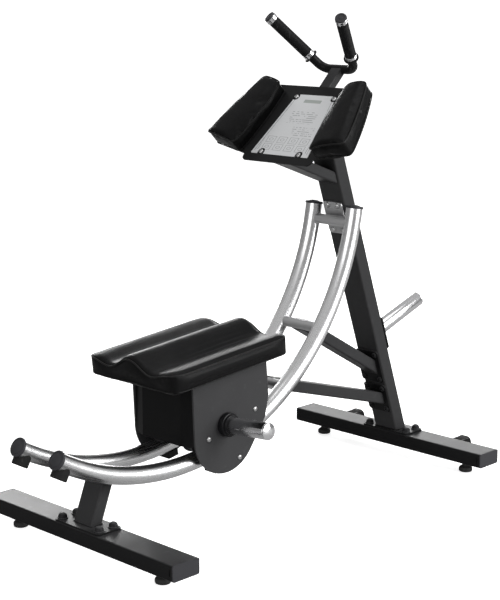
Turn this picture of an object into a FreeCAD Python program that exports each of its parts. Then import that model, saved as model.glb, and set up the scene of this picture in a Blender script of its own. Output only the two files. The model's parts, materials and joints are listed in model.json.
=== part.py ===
import FreeCAD, Part
import math
import os

from FreeCAD import Placement, Rotation, Vector

os.makedirs("parts", exist_ok=True)

# Ab crunch machine: a kneeling carriage rolls on two curved rails between a floor frame and a leaning mast.
# Millimetres and degrees. +X is the user's right, +Y points to the mast, +Z is up.
# The sizes below are laid out from the rear stabiliser's centre line; save() moves every piece so that
# the origin is under the middle of the machine's box.

# ---- floor frame ----
WHEELBASE = 1317.0              # centre to centre of the two stabilisers
STABILISER_LENGTH = 790.0       # over the end caps
STABILISER_WIDTH = 94.0
STABILISER_HEIGHT = 45.0
STABILISER_WALL = 3.0
TUBE_CORNER = 6.0               # outside corner radius of every rectangular tube
END_CAP_FLANGE = 4.0
END_CAP_TONGUE = 18.0
SLOT_WIDTH = 3.0                # snap slot of the end caps
SLOT_HEIGHT = 20.0
SLOT_INSET = 9.0
FOOT_CLEARANCE = 37.0           # floor to the underside of a stabiliser
FOOT_RADIUS = 22.0
FOOT_DISC = 16.0
FOOT_STEM_RADIUS = 5.0
FOOT_INSET = 90.0               # from the end of a stabiliser
STEM_FIT = 0.05
WELD_NUT_RADIUS = 10.0
WELD_NUT_HEIGHT = 8.0

# ---- base plates and their bolts ----
BASE_PLATE_LENGTH = 190.0
BASE_PLATE_WIDTH = 88.0
BASE_PLATE_THICKNESS = 6.0
BASE_PLATE_CORNER = 12.0
BASE_BOLT_X = 78.0
BASE_BOLT_Y = 25.0
BASE_BOLT_SHANK = 5.0
BASE_BOLT_DOME = 13.5
BOLT_CLEARANCE = 0.5

# ---- transport wheels ----
WHEEL_RADIUS = 31.0
WHEEL_WIDTH = 26.0
WHEEL_X = 230.0
WHEEL_CENTRE_HEIGHT = 53.0
WHEEL_GAP = 2.5                 # from the wheel to its bracket
BRACKET_SHEET = 4.0
WHEEL_AXLE_RADIUS = 6.0
WHEEL_FIT = 0.05

# ---- rails ----
RAIL_RADIUS = 25.5              # outside radius of the rail tube
RAIL_WALL = 3.0
RAIL_SPACING = 166.0            # between the two rail centre lines
RAIL_LOW_HEIGHT = 206.0         # rail centre line over the floor at the bottom of the arc
RAIL_REAR_ANGLE = -31.5         # ends of the arc, from straight down
RAIL_FRONT_ANGLE = 81.3
POST_ANGLE = -14.0              # where the rear post meets the rails
TOP_TUBE_ANGLE = 78.0           # where the top cross tube meets the mast bracket
MIDDLE_TUBE_ANGLE = 52.6
LOWER_TUBE_ANGLE = 36.3
CROSS_TUBE_RADIUS = 16.0
CROSS_TUBE_WALL = 2.5
PLUG_FLANGE = 7.0
PLUG_DOME = 4.0                 # height of the round face over the flange
PLUG_CHAMFER = 2.0
PLUG_DEPTH = 22.0
PLUG_LIP = 2.0                  # rim of a plug outside the rail tube
PLUG_RADIUS = RAIL_RADIUS + PLUG_LIP
STOP_ANGLE = -29.7
STOP_RADIUS = 23.5
STOP_HEIGHT = 19.0
SADDLE_LENGTH = 96.0
SADDLE_THICKNESS = 8.0
SADDLE_BOLT_X = 24.0
SADDLE_BOLT_PITCH = 24.0

# ---- rear post and mast ----
POST_WIDTH = 76.0
POST_DEPTH = 38.0
POST_LEAN = 21.2                # forward, going up
POST_TOP_PLATE = 6.0
FRAME_WALL = 3.0
MAST_WIDTH = 90.0
MAST_DEPTH = 50.0
MAST_LEAN = 19.4                # backward, going up
MAST_FOOT_OFFSET = -10.5        # from the front stabiliser's centre line
MAST_LENGTH = 1145.0            # along the centre line, from the base plate to the tray spine
MAST_PLATE = 6.0                # thickness of every plate bolted to the mast

# ---- braces, top bracket and their bolts ----
BRACE_WIDTH = 60.0
BRACE_DEPTH = 36.0
UPPER_BRACE_STATION = 254.5     # along the mast from its foot
LOWER_BRACE_STATION = 134.0
UPPER_FLANGE_HALF = 58.0
LOWER_FLANGE_HALF = 51.0
UPPER_BOLT_HALF = 45.5
LOWER_BOLT_HALF = 38.5
FLANGE_BOLT_X = 32.0
FLANGE_CORNER = 10.0
BRACKET_WIDTH = 75.0
BRACKET_HALF = 54.0
BRACKET_BOLT_X = 19.5
BRACKET_BOLT_HALF = 43.0
SMALL_BOLT_SHANK = 4.0
SMALL_BOLT_HEAD = 9.0
SMALL_BOLT_HEIGHT = 6.0
SMALL_BOLT_REACH = 8.0          # shank behind the plate

# ---- weight storage peg ----
SLEEVE_RADIUS = 24.3            # sleeve for plates with a 50 mm hole
SLEEVE_WALL = 3.0
STORAGE_STATION = 352.0
STORAGE_LENGTH = 233.9
STORAGE_FLANGE_HALF = 58.0
STORAGE_BOLT_X = 31.0
STORAGE_BOLT_HALF = 46.0
CAP_THICKNESS = 9.0
CAP_STRAIGHT = 4.0              # straight side of the cap under its dome
CAP_PLUG = 14.0

# ---- elbow tray, its arm and spine ----
TRAY_TILT = 45.0
TRAY_THICKNESS = 4.0
TRAY_MAST_STATION = 203.6       # along the tray, from its lower bolts to the mast's centre line
TRAY_BOTTOM = -35.0
TRAY_TOP = 265.0
TRAY_FLAP_HALF = 140.0
TRAY_TOP_HALF = 186.0
TRAY_WING_HALF = 240.0
TRAY_WING_LOW = 20.0            # where the wing's outer corner starts
TRAY_FLAP_STEP = -12.0
TRAY_CORNER = 16.0
SPINE_WIDTH = 40.0
SPINE_DEPTH = 25.0
SPINE_START = 20.0
HANDLE_STATION = 353.0          # along the tray, where the handlebar crosses the spine
ARM_DEPTH = 32.0
ARM_STATION = 929.5             # along the mast
ARM_TRAY_STATION = -10.6
STRAP_HALF = 92.0
STRAP_WIDTH = 28.0
STRAP_THICKNESS = 5.0
TRAY_BOLT_X = 76.5
TRAY_BOLT_UPPER = 220.0
TRAY_BOLT_HEAD = 7.5
PLACARD_THICKNESS = 1.5
PLACARD_BOTTOM = -8.0
PLACARD_TOP = 229.0
PLACARD_BOTTOM_HALF = 116.0
PLACARD_TOP_HALF = 79.0
PLACARD_NOTCH = 13.0

# ---- elbow pads ----
# corners of the right pad on the tray: distance from the middle, and along the slope
ELBOW_LOW_INNER = (157.5, -11.0)
ELBOW_LOW_OUTER = (277.0, 12.5)
ELBOW_HIGH_INNER = (132.5, 240.0)
ELBOW_HIGH_OUTER = (209.0, 253.0)
ELBOW_LOW_THICKNESS = (50.0, 61.0)      # at the inner and the outer edge
ELBOW_HIGH_THICKNESS = (41.0, 49.0)
ELBOW_CROWN = 9.0
ELBOW_ROUND = 8.0
PAD_GAP = 0.4                   # between a soft pad and what it rests on

# ---- handlebar and grips ----
BAR_RADIUS = 14.0
BAR_WALL = 2.5
BAR_HALF = 62.0                 # centre to the corner of the bend
BAR_BEND = 38.0
GRIP_SPLAY = 20.0               # outward, from the tray's normal
GRIP_START = 55.0               # from the corner to the grip's inner flange
GRIP_LENGTH = 186.0
GRIP_RADIUS = 17.5
GRIP_NECK = 15.5
GRIP_FLANGE_RADIUS = 23.0
GRIP_FLANGE = 4.0
COLLAR_RADIUS = 18.6
COLLAR_LENGTH = 14.0
GRIP_PLUG = 6.0

# ---- carriage ----
CARRIAGE_ANGLE = 15.75          # of the carriage's middle on the arc, at rest
ROLLER_SPREAD = 194.0           # between the two upper axles, along the arc of their centres
ROLLER_RADIUS = 40.2            # at the bottom of the groove
ROLLER_HALF_WIDTH = 20.0
LOWER_ROLLER_RADIUS = 11.0
LOWER_ROLLER_HALF = 10.0
ROLL_GAP = 0.3                  # from a roller's groove to the rail
ROLLER_BUSH_RADIUS = 9.0
LOWER_BUSH_RADIUS = 7.0
BUSH_FIT = 0.06
ROLLER_BOLT_RADIUS = 5.0
BOLT_FIT = 0.25
ROLLER_BOLT_HEAD = 7.5
ROLLER_BOLT_HEIGHT = 4.5
SIDE_PLATE = 6.0
SIDE_PLATE_INNER = 122.0        # half the space between the two side plates
PLATE_CENTRE_Y = -43.6          # middle of the plate's round foot, from the carriage point
PLATE_CENTRE_Z = 51.9
PLATE_RADIUS = 122.0
PLATE_NOSE_Z = 128.0            # height of the widest point of the front edge
PLATE_NOSE_Y = 129.5
PLATE_TOP_REAR_Y = -173.6
PLATE_TOP_FRONT_Y = 120.0
PLATE_NOSE_ROUND = 40.0
PLATE_FRONT_TANGENT = 36.0      # the round foot ends this far round from straight forward, downwards
SEAT_SHEET = 5.0
SEAT_HALF = 150.0
COVER_SHEET = 3.0
COVER_BOTTOM = 27.0             # over the carriage point
COVER_FOLD = 13.0
COVER_FLAT_HALF = 80.0
FRONT_FLANGE_BOTTOM = 150.0
BUMPER_ANGLE = 10.5             # middle of the travel bumpers on the arc, at rest
BUMPER_LENGTH = 40.0
BUMPER_INNER_X = 74.0
BUMPER_HEIGHT = 20.0
BUMPER_GAP = 2.0

# ---- weight peg, on the right side of the carriage only ----
PEG_SIDE = 1
PEG_TILT = 4.5                  # upward, going out
PEG_Z = 73.9                    # over the carriage point
PEG_REACH = 165.0               # from the side plate to the cap
PEG_COLLAR_RADIUS = 35.0
PEG_COLLAR_LENGTH = 20.0
PEG_RING_RADIUS = 30.5
PEG_RING_LENGTH = 8.0
PEG_NECK_RADIUS = 23.0          # of the peg inside its collar

# ---- knee pad ----
KNEE_PITCH = 5.3
KNEE_LENGTH = 456.0
KNEE_HALF = 183.0
KNEE_EDGE = 54.0                # thickness at the side edges
KNEE_CREST = 29.0               # centre ridge over the edges
KNEE_VALLEY = 8.0               # knee channels under the edges
KNEE_VALLEY_X = 88.0
KNEE_CORNER = 34.0
KNEE_BOTTOM_ROUND = 8.0
KNEE_REAR_Y = -288.0            # rear end of the pad, from the carriage point
KNEE_REAR_Z = 210.0             # its underside there

# ---- worked out from the sizes above ----
FULL = 360.0
FAR = 3000.0
X_AXIS = Vector(1, 0, 0)
Z_AXIS = Vector(0, 0, 1)


def sin(angle):
    return math.sin(math.radians(angle))


def cos(angle):
    return math.cos(math.radians(angle))


def tan(angle):
    return math.tan(math.radians(angle))


STABILISER_TOP = FOOT_CLEARANCE + STABILISER_HEIGHT
PLATE_TOP = STABILISER_TOP + BASE_PLATE_THICKNESS
MAST_FOOT = Vector(0, WHEELBASE + MAST_FOOT_OFFSET, PLATE_TOP)
MAST_UP = Vector(0, -sin(MAST_LEAN), cos(MAST_LEAN))
MAST_FRONT = Vector(0, cos(MAST_LEAN), sin(MAST_LEAN))
POST_UP = Vector(0, sin(POST_LEAN), cos(POST_LEAN))


def solve_arc():
    """Arc radius and centre: the rails pass over the rear post and touch the mast's bracket at the top."""
    # the rail point at POST_ANGLE lies on the post's centre line, which starts over the rear stabiliser
    # the rail point at TOP_TUBE_ANGLE lies one tube radius and one plate behind the mast's rear face
    offset = MAST_DEPTH / 2 + MAST_PLATE + CROSS_TUBE_RADIUS
    goal = MAST_FOOT.dot(MAST_FRONT) - offset
    low = RAIL_LOW_HEIGHT
    # point(a) = (centre_y + R sin a, low + R (1 - cos a)); the post gives centre_y as a line in R
    post_rise = 1 - cos(POST_ANGLE)
    # centre_y = tan(lean) * (low + R * post_rise - PLATE_TOP) - R * sin(POST_ANGLE)
    constant = tan(POST_LEAN) * (low - PLATE_TOP)
    slope = tan(POST_LEAN) * post_rise - sin(POST_ANGLE)
    along_y = slope + sin(TOP_TUBE_ANGLE)
    along_z = 1 - cos(TOP_TUBE_ANGLE)
    radius = (goal - MAST_FRONT.y * constant - MAST_FRONT.z * low) / (MAST_FRONT.y * along_y + MAST_FRONT.z * along_z)
    return radius, constant + slope * radius, low + radius


ARC_RADIUS, ARC_Y, ARC_Z = solve_arc()
RAIL_X = RAIL_SPACING / 2
INNER_REACH = ARC_RADIUS - RAIL_RADIUS - ROLL_GAP
UPPER_AXLE = INNER_REACH - ROLLER_RADIUS
LOWER_AXLE = ARC_RADIUS + RAIL_RADIUS + ROLL_GAP + LOWER_ROLLER_RADIUS
ROLLER_STEP = math.degrees(ROLLER_SPREAD / 2 / UPPER_AXLE)
CARRIAGE_Y = ARC_Y + ARC_RADIUS * sin(CARRIAGE_ANGLE)
CARRIAGE_Z = ARC_Z - ARC_RADIUS * cos(CARRIAGE_ANGLE)
SIDE_PLATE_OUTER = SIDE_PLATE_INNER + SIDE_PLATE
SIDES = {"left": -1, "right": 1}


def arc_point(x, angle, radius):
    """Point at an angle from straight down round the rails' centre."""
    return Vector(x, ARC_Y + radius * sin(angle), ARC_Z - radius * cos(angle))


def arc_forward(angle):
    """Direction along the arc, towards the mast."""
    return Vector(0, cos(angle), sin(angle))


def arc_inward(angle):
    """Direction from the rails to the arc's centre."""
    return Vector(0, -sin(angle), cos(angle))


def mast_point(station, out=0.0, x=0.0):
    """Point along the mast's centre line, moved forward by out."""
    return MAST_FOOT + MAST_UP * station + MAST_FRONT * out + Vector(x, 0, 0)


TRAY_ALONG = Vector(0, cos(TRAY_TILT), sin(TRAY_TILT))
TRAY_NORMAL = Vector(0, -sin(TRAY_TILT), cos(TRAY_TILT))
SPINE_UNDER = TRAY_THICKNESS + SPINE_DEPTH
TRAY_ZERO = mast_point(MAST_LENGTH) - TRAY_ALONG * TRAY_MAST_STATION + TRAY_NORMAL * SPINE_UNDER


def tray_point(x, along, height):
    """Point on the tray: along its slope from the lower bolts, and height over its upper face."""
    return TRAY_ZERO + TRAY_ALONG * along + TRAY_NORMAL * height + Vector(x, 0, 0)


def dome_ball(radius, rise):
    """Radius of the sphere whose cap has this base radius and this rise."""
    return (radius * radius + rise * rise) / (2 * rise)


def origin_shift():
    """Move along Y that puts the origin under the middle of the machine."""
    plug_edge = arc_point(0, RAIL_REAR_ANGLE, ARC_RADIUS + PLUG_RADIUS - PLUG_CHAMFER)
    rear = (plug_edge - arc_forward(RAIL_REAR_ANGLE) * PLUG_FLANGE).y
    end = mast_point(STORAGE_STATION, MAST_DEPTH / 2 + MAST_PLATE + STORAGE_LENGTH)
    front = end.y + dome_ball(SLEEVE_RADIUS, CAP_THICKNESS - CAP_STRAIGHT) * (1 - MAST_FRONT.y)
    return Vector(0, -(rear + front) / 2, 0)


SHIFT = origin_shift()


def save(name, *solids):
    """Write one node, moved to the row's origin."""
    moved = []
    for solid in solids:
        copy = solid.copy()
        copy.translate(SHIFT)
        moved.extend(copy.Solids)
    shape = moved[0] if len(moved) == 1 else Part.makeCompound(moved)
    shape.exportStep("parts/" + name + ".step")
    print("%-26s %2d solids  %10.0f mm3  valid %s" % (name, len(moved), shape.Volume, shape.isValid()))


def turn_to(direction):
    """Rotation that carries +Z onto a direction."""
    return Rotation(Z_AXIS, direction)


def lean_to(direction):
    """Rotation about X that carries +Z onto a direction in the YZ plane, so that X stays X."""
    return Rotation(X_AXIS, math.degrees(math.atan2(-direction.y, direction.z)))


def block(x0, x1, y0, y1, z0, z1):
    return Part.makeBox(x1 - x0, y1 - y0, z1 - z0, Vector(x0, y0, z0))


def rounded_block(width, depth, height, corner, base=0.0):
    """Box centred on Z with its upright edges rounded."""
    solid = block(-width / 2, width / 2, -depth / 2, depth / 2, base, base + height)
    if corner <= 0:
        return solid
    edges = [e for e in solid.Edges if abs(e.Vertexes[0].Z - e.Vertexes[1].Z) > height / 2]
    return solid.makeFillet(corner, edges)


def rod(start, end, radius):
    direction = end - start
    return Part.makeCylinder(radius, direction.Length, start, direction)


def pipe(start, end, outer, inner):
    return rod(start, end, outer).cut(rod(start, end, inner))


def turned(profile, base, axis):
    """Solid of revolution: profile is a closed list of (radius, distance along the axis)."""
    points = [Vector(r, 0, a) for r, a in profile]
    face = Part.Face(Part.makePolygon(points + [points[0]]))
    solid = face.revolve(Vector(0, 0, 0), Z_AXIS, FULL)
    solid.Placement = Placement(base, turn_to(axis))
    return solid


def dome(radius, straight, height, base, axis):
    """Round head: a short cylinder under a spherical cap."""
    ball = dome_ball(radius, height - straight)
    solid = rod(base, base + axis * height, radius)
    centre = base + axis * (height - ball)
    return solid.common(Part.makeSphere(ball, centre, axis))


def half_space(point, normal):
    """Everything on the positive side of a plane."""
    solid = block(-FAR, FAR, -FAR, FAR, 0, FAR)
    solid.Placement = Placement(point, turn_to(normal))
    return solid


def box_tube(start, direction, length, width, depth, wall):
    """Hollow rectangular tube along a direction in the YZ plane; its width lies along X."""
    outer = rounded_block(width, depth, length, TUBE_CORNER)
    inner = rounded_block(width - 2 * wall, depth - 2 * wall, length, TUBE_CORNER - wall)
    tube = outer.cut(inner)
    tube.Placement = Placement(start, lean_to(direction))
    return tube


def plate_on(point, normal, width, height, thickness, corner):
    """Rounded plate lying on a plane in the YZ lean, thickness along the normal."""
    plate = rounded_block(width, height, thickness, corner)
    plate.Placement = Placement(point, lean_to(normal))
    return plate


def drill(solid, points, axis, radius, depth):
    """Round holes that start one depth before each point and end one depth behind it."""
    for point in points:
        solid = solid.cut(rod(point - axis * depth, point + axis * depth, radius))
    return solid


def small_bolt(seat, axis):
    """Button-head bolt: head outside the seat, shank behind it."""
    head = dome(SMALL_BOLT_HEAD, SMALL_BOLT_HEIGHT / 3, SMALL_BOLT_HEIGHT, seat, axis)
    shank = rod(seat, seat - axis * (MAST_PLATE + SMALL_BOLT_REACH), SMALL_BOLT_SHANK)
    return head.fuse(shank)


def mirror_x(solid):
    return solid.mirror(Vector(0, 0, 0), X_AXIS)


def rail_ring(x, radius):
    """Solid round bar that follows the arc a little past both rail ends, for cutting."""
    return arc_bar(x, radius, RAIL_REAR_ANGLE - 2, RAIL_FRONT_ANGLE + 2)


def arc_bar(x, radius, start_angle, end_angle):
    start = arc_point(x, start_angle, ARC_RADIUS)
    circle = Part.makeCircle(radius, start, arc_forward(start_angle))
    face = Part.Face(Part.Wire(circle))
    return face.revolve(Vector(0, ARC_Y, ARC_Z), X_AXIS, end_angle - start_angle)


# ---- stabilisers, feet, wheels ----

def foot_points(station):
    reach = STABILISER_LENGTH / 2 - FOOT_INSET
    return {side: Vector(sign * reach, station, 0) for side, sign in SIDES.items()}


def base_bolt_points(station, height):
    signs = (-1, 1)
    return [Vector(i * BASE_BOLT_X, station + j * BASE_BOLT_Y, height) for i in signs for j in signs]


def stabiliser(station):
    """Rectangular floor tube with weld nuts for its feet, bolt holes on top and cap slots."""
    length = STABILISER_LENGTH - 2 * END_CAP_FLANGE
    outer = rounded_block(STABILISER_HEIGHT, STABILISER_WIDTH, length, TUBE_CORNER, -length / 2)
    inner = rounded_block(STABILISER_HEIGHT - 2 * STABILISER_WALL, STABILISER_WIDTH - 2 * STABILISER_WALL,
                          length, TUBE_CORNER - STABILISER_WALL, -length / 2)
    tube = outer.cut(inner)
    middle = FOOT_CLEARANCE + STABILISER_HEIGHT / 2
    tube.Placement = Placement(Vector(0, station, middle), turn_to(X_AXIS))
    floor_wall = FOOT_CLEARANCE + STABILISER_WALL
    for point in foot_points(station).values():
        seat = Vector(point.x, station, floor_wall - 1)
        tube = tube.fuse(rod(seat, seat + Z_AXIS * (WELD_NUT_HEIGHT + 1), WELD_NUT_RADIUS))
        tube = drill(tube, [seat], Z_AXIS, FOOT_STEM_RADIUS + STEM_FIT, WELD_NUT_HEIGHT * 2)
    tops = base_bolt_points(station, STABILISER_TOP)
    tube = drill(tube, tops, Z_AXIS, BASE_BOLT_SHANK + BOLT_CLEARANCE, STABILISER_WALL * 2)
    rear = station - STABILISER_WIDTH / 2
    for sign in SIDES.values():
        x = sign * (length / 2 - SLOT_INSET)
        slot = block(x - SLOT_WIDTH / 2, x + SLOT_WIDTH / 2, rear - 1, rear + STABILISER_WALL + 1,
                     middle - SLOT_HEIGHT / 2, middle + SLOT_HEIGHT / 2)
        tube = tube.cut(slot)
    return tube.removeSplitter()


def end_cap(station, sign):
    """Plastic cap: a flange as large as the tube and a tongue inside it."""
    middle = FOOT_CLEARANCE + STABILISER_HEIGHT / 2
    flange = rounded_block(STABILISER_HEIGHT, STABILISER_WIDTH, END_CAP_FLANGE, TUBE_CORNER)
    inset = 2 * STABILISER_WALL
    tongue = rounded_block(STABILISER_HEIGHT - inset, STABILISER_WIDTH - inset, END_CAP_TONGUE,
                           TUBE_CORNER - STABILISER_WALL, -END_CAP_TONGUE)
    cap = flange.fuse(tongue)
    seat = Vector(sign * (STABILISER_LENGTH / 2 - END_CAP_FLANGE), station, middle)
    cap.Placement = Placement(seat, turn_to(Vector(sign, 0, 0)))
    return cap.removeSplitter()


def levelling_foot(point):
    """Threaded foot: a round pad on the floor, a waisted neck and a stem in the weld nut."""
    pad = FOOT_RADIUS
    neck = FOOT_STEM_RADIUS + 6
    top = FOOT_CLEARANCE + STABILISER_WALL + WELD_NUT_HEIGHT + 4
    profile = [(0, 0), (pad - 4, 0), (pad, 4), (pad, FOOT_DISC - 3), (pad - 3, FOOT_DISC),
               (neck, FOOT_DISC + 4), (neck, FOOT_CLEARANCE - 5), (FOOT_STEM_RADIUS, FOOT_CLEARANCE - 5),
               (FOOT_STEM_RADIUS, top), (0, top)]
    return turned(profile, Vector(point.x, point.y, 0), Z_AXIS)


def base_plate(station):
    plate = rounded_block(BASE_PLATE_LENGTH, BASE_PLATE_WIDTH, BASE_PLATE_THICKNESS, BASE_PLATE_CORNER)
    plate.translate(Vector(0, station, STABILISER_TOP))
    return drill(plate, base_bolt_points(station, STABILISER_TOP), Z_AXIS,
                 BASE_BOLT_SHANK + BOLT_CLEARANCE, BASE_PLATE_THICKNESS * 2)


def base_bolt(seat):
    """Bolt under a domed cap."""
    head = dome(BASE_BOLT_DOME, 4, BASE_BOLT_DOME + 3, seat, Z_AXIS)
    reach = BASE_PLATE_THICKNESS + STABILISER_WALL + 10
    return head.fuse(rod(seat, seat - Z_AXIS * reach, BASE_BOLT_SHANK))


def wheel_centre(sign):
    clear = STABILISER_WIDTH / 2 + BRACKET_SHEET + WHEEL_GAP
    return Vector(sign * WHEEL_X, WHEELBASE + clear + WHEEL_RADIUS, WHEEL_CENTRE_HEIGHT)


def wheel_bracket(sign):
    """Folded fork welded to the front of the front stabiliser."""
    centre = wheel_centre(sign)
    inner = WHEEL_WIDTH / 2 + WHEEL_GAP
    outer = inner + BRACKET_SHEET
    back = WHEELBASE + STABILISER_WIDTH / 2
    low = FOOT_CLEARANCE + 6
    high = STABILISER_TOP - 4
    body = block(-outer, outer, back, centre.y, low, high)
    ears = rod(Vector(-outer, centre.y, centre.z), Vector(outer, centre.y, centre.z), (high - low) / 2)
    middle = Vector(0, 0, (high + low) / 2 - centre.z)
    ears.translate(middle)
    body = body.fuse(ears)
    gap = block(-inner, inner, back + BRACKET_SHEET, centre.y + FAR, low - 1, high + 1)
    body = body.cut(gap)
    axis_start = Vector(-outer - 1, centre.y, centre.z)
    body = body.cut(rod(axis_start, axis_start + X_AXIS * (2 * outer + 2), WHEEL_AXLE_RADIUS))
    body.translate(Vector(centre.x, 0, 0))
    return body.removeSplitter()


def wheel_axle(sign):
    """Axle through the fork, with a domed head at each side."""
    centre = wheel_centre(sign)
    half = WHEEL_WIDTH / 2 + WHEEL_GAP + BRACKET_SHEET
    shaft = rod(centre - X_AXIS * half, centre + X_AXIS * half, WHEEL_AXLE_RADIUS)
    for side in (-1, 1):
        outward = X_AXIS * side
        shaft = shaft.fuse(dome(WHEEL_AXLE_RADIUS + 4, 2, 5, centre + outward * half, outward))
    return shaft.removeSplitter()


def transport_wheel(sign):
    half = WHEEL_WIDTH / 2
    bore = WHEEL_AXLE_RADIUS + WHEEL_FIT
    rim = WHEEL_RADIUS
    web = half - 6
    profile = [(bore, -half), (14, -half), (17, -web), (rim - 9, -web), (rim - 6, -half), (rim - 3, -half),
               (rim, -half + 3), (rim, half - 3), (rim - 3, half), (rim - 6, half), (rim - 9, web),
               (17, web), (14, half), (bore, half)]
    return turned(profile, wheel_centre(sign), X_AXIS)


# ---- rails ----

def rail(x):
    outer = arc_bar(x, RAIL_RADIUS, RAIL_REAR_ANGLE, RAIL_FRONT_ANGLE)
    inner = arc_bar(x, RAIL_RADIUS - RAIL_WALL, RAIL_REAR_ANGLE - 1, RAIL_FRONT_ANGLE + 1)
    return outer.cut(inner)


def rail_plug(x, angle, outward):
    """Round plug with a domed face in the end of a rail."""
    bore = RAIL_RADIUS - RAIL_WALL - 0.4
    rim = PLUG_RADIUS
    profile = [(0, -PLUG_DEPTH), (bore - 2, -PLUG_DEPTH), (bore, -PLUG_DEPTH + 4), (bore, 0), (rim, 0),
               (rim, PLUG_FLANGE - PLUG_CHAMFER), (rim - PLUG_CHAMFER, PLUG_FLANGE), (rim - 6, PLUG_FLANGE),
               (rim - 7, PLUG_FLANGE - 1), (rim - 8, PLUG_FLANGE), (rim - 13, PLUG_FLANGE + PLUG_DOME * 0.6),
               (rim - 20, PLUG_FLANGE + PLUG_DOME * 0.92), (0, PLUG_FLANGE + PLUG_DOME)]
    plug = turned(profile, arc_point(x, angle, ARC_RADIUS), arc_forward(angle) * outward)
    # the rail curves away from the straight plug, so the plug keeps to the bore
    keep = arc_bar(x, RAIL_RADIUS - RAIL_WALL - 0.1, angle - 3, angle + 3)
    flange_side = half_space(arc_point(x, angle, ARC_RADIUS), arc_forward(angle) * outward)
    return plug.common(keep).fuse(plug.common(flange_side)).removeSplitter()


def rail_stop(x):
    """Rubber stop screwed under the low end of a rail."""
    seat = arc_point(x, STOP_ANGLE, ARC_RADIUS + RAIL_RADIUS + STOP_HEIGHT)
    inward = arc_inward(STOP_ANGLE)
    reach = STOP_HEIGHT + RAIL_RADIUS
    profile = [(0, 0), (STOP_RADIUS - 2, 0), (STOP_RADIUS, 2), (STOP_RADIUS, reach), (0, reach)]
    return turned(profile, seat, inward).cut(rail_ring(x, RAIL_RADIUS))


def cross_tube(angle):
    """Round tube between the rails, shaped to them at both ends."""
    centre = arc_point(0, angle, ARC_RADIUS)
    tube = pipe(centre - X_AXIS * RAIL_X, centre + X_AXIS * RAIL_X, CROSS_TUBE_RADIUS,
                CROSS_TUBE_RADIUS - CROSS_TUBE_WALL)
    for sign in SIDES.values():
        tube = tube.cut(arc_bar(sign * RAIL_X, RAIL_RADIUS, angle - 6, angle + 6))
    return tube


def saddle_bolt_points():
    seat = arc_point(0, POST_ANGLE, ARC_RADIUS - SADDLE_THICKNESS / 2)
    along = arc_forward(POST_ANGLE) * SADDLE_BOLT_PITCH
    return [seat + along + X_AXIS * SADDLE_BOLT_X, seat + along - X_AXIS * SADDLE_BOLT_X]


def rail_saddle():
    """Plate welded between the rails, over the rear post."""
    underside = arc_point(0, POST_ANGLE, ARC_RADIUS + SADDLE_THICKNESS / 2)
    inward = arc_inward(POST_ANGLE)
    plate = plate_on(underside, inward, RAIL_SPACING, SADDLE_LENGTH, SADDLE_THICKNESS, 0)
    for sign in SIDES.values():
        plate = plate.cut(arc_bar(sign * RAIL_X, RAIL_RADIUS, POST_ANGLE - 8, POST_ANGLE + 8))
        edge = Vector(sign * (RAIL_X - 4), 0, 0)
        plate = plate.cut(half_space(edge, X_AXIS * sign))
    return drill(plate, saddle_bolt_points(), inward, SMALL_BOLT_SHANK + BOLT_CLEARANCE, SADDLE_THICKNESS * 2)


def rear_post():
    """Leaning tube with a plate welded on top, bolted under the rails' saddle."""
    foot = Vector(0, 0, PLATE_TOP)
    seat = arc_point(0, POST_ANGLE, ARC_RADIUS + SADDLE_THICKNESS / 2)
    inward = arc_inward(POST_ANGLE)
    tube = box_tube(foot - POST_UP * POST_DEPTH, POST_UP, (seat - foot).Length + 3 * POST_DEPTH,
                    POST_WIDTH, POST_DEPTH, FRAME_WALL)
    tube = tube.cut(half_space(foot, Z_AXIS * -1))
    tube = tube.cut(half_space(seat - inward * (POST_TOP_PLATE / 2), inward))
    cap = plate_on(seat - inward * POST_TOP_PLATE, inward, POST_WIDTH + 8, SADDLE_LENGTH - 12, POST_TOP_PLATE, 5)
    cap = drill(cap, saddle_bolt_points(), inward, SMALL_BOLT_SHANK + BOLT_CLEARANCE, FAR / 10)
    bolts_room = [rod(p, p - inward * (SADDLE_THICKNESS + POST_TOP_PLATE + SMALL_BOLT_REACH),
                      SMALL_BOLT_SHANK + BOLT_CLEARANCE) for p in saddle_bolt_points()]
    tube = tube.cut(Part.makeCompound(bolts_room))
    return tube.fuse(cap).removeSplitter()


# ---- mast, plates and braces ----

def mast():
    low = mast_point(-MAST_DEPTH)
    tube = box_tube(low, MAST_UP, MAST_LENGTH + 3 * MAST_DEPTH, MAST_WIDTH, MAST_DEPTH, FRAME_WALL)
    tube = tube.cut(half_space(MAST_FOOT, Z_AXIS * -1))
    tube = tube.cut(half_space(tray_point(0, 0, -SPINE_UNDER), TRAY_NORMAL))
    rear_bolts = brace_bolt_points(UPPER_BRACE_STATION, UPPER_BOLT_HALF)
    rear_bolts += brace_bolt_points(LOWER_BRACE_STATION, LOWER_BOLT_HALF)
    rear_bolts += bracket_bolt_points()
    tube = drill(tube, rear_bolts, MAST_FRONT, SMALL_BOLT_SHANK + BOLT_CLEARANCE, MAST_DEPTH / 2)
    return drill(tube, storage_bolt_points(), MAST_FRONT, SMALL_BOLT_SHANK + BOLT_CLEARANCE, MAST_DEPTH / 2)


def plate_bolt_points(station, side, half_x, half_up):
    """Four bolt seats on a plate that lies on the rear (-1) or front (1) of the mast."""
    out = side * (MAST_DEPTH / 2 + MAST_PLATE)
    return [mast_point(station + j * half_up, out, i * half_x) for i in (-1, 1) for j in (-1, 1)]


def brace_bolt_points(station, half_up):
    return plate_bolt_points(station, -1, FLANGE_BOLT_X, half_up)


def storage_bolt_points():
    return plate_bolt_points(STORAGE_STATION, 1, STORAGE_BOLT_X, STORAGE_BOLT_HALF)


def bracket_station():
    """Distance along the mast of the top cross tube."""
    return (arc_point(0, TOP_TUBE_ANGLE, ARC_RADIUS) - MAST_FOOT).dot(MAST_UP)


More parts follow.
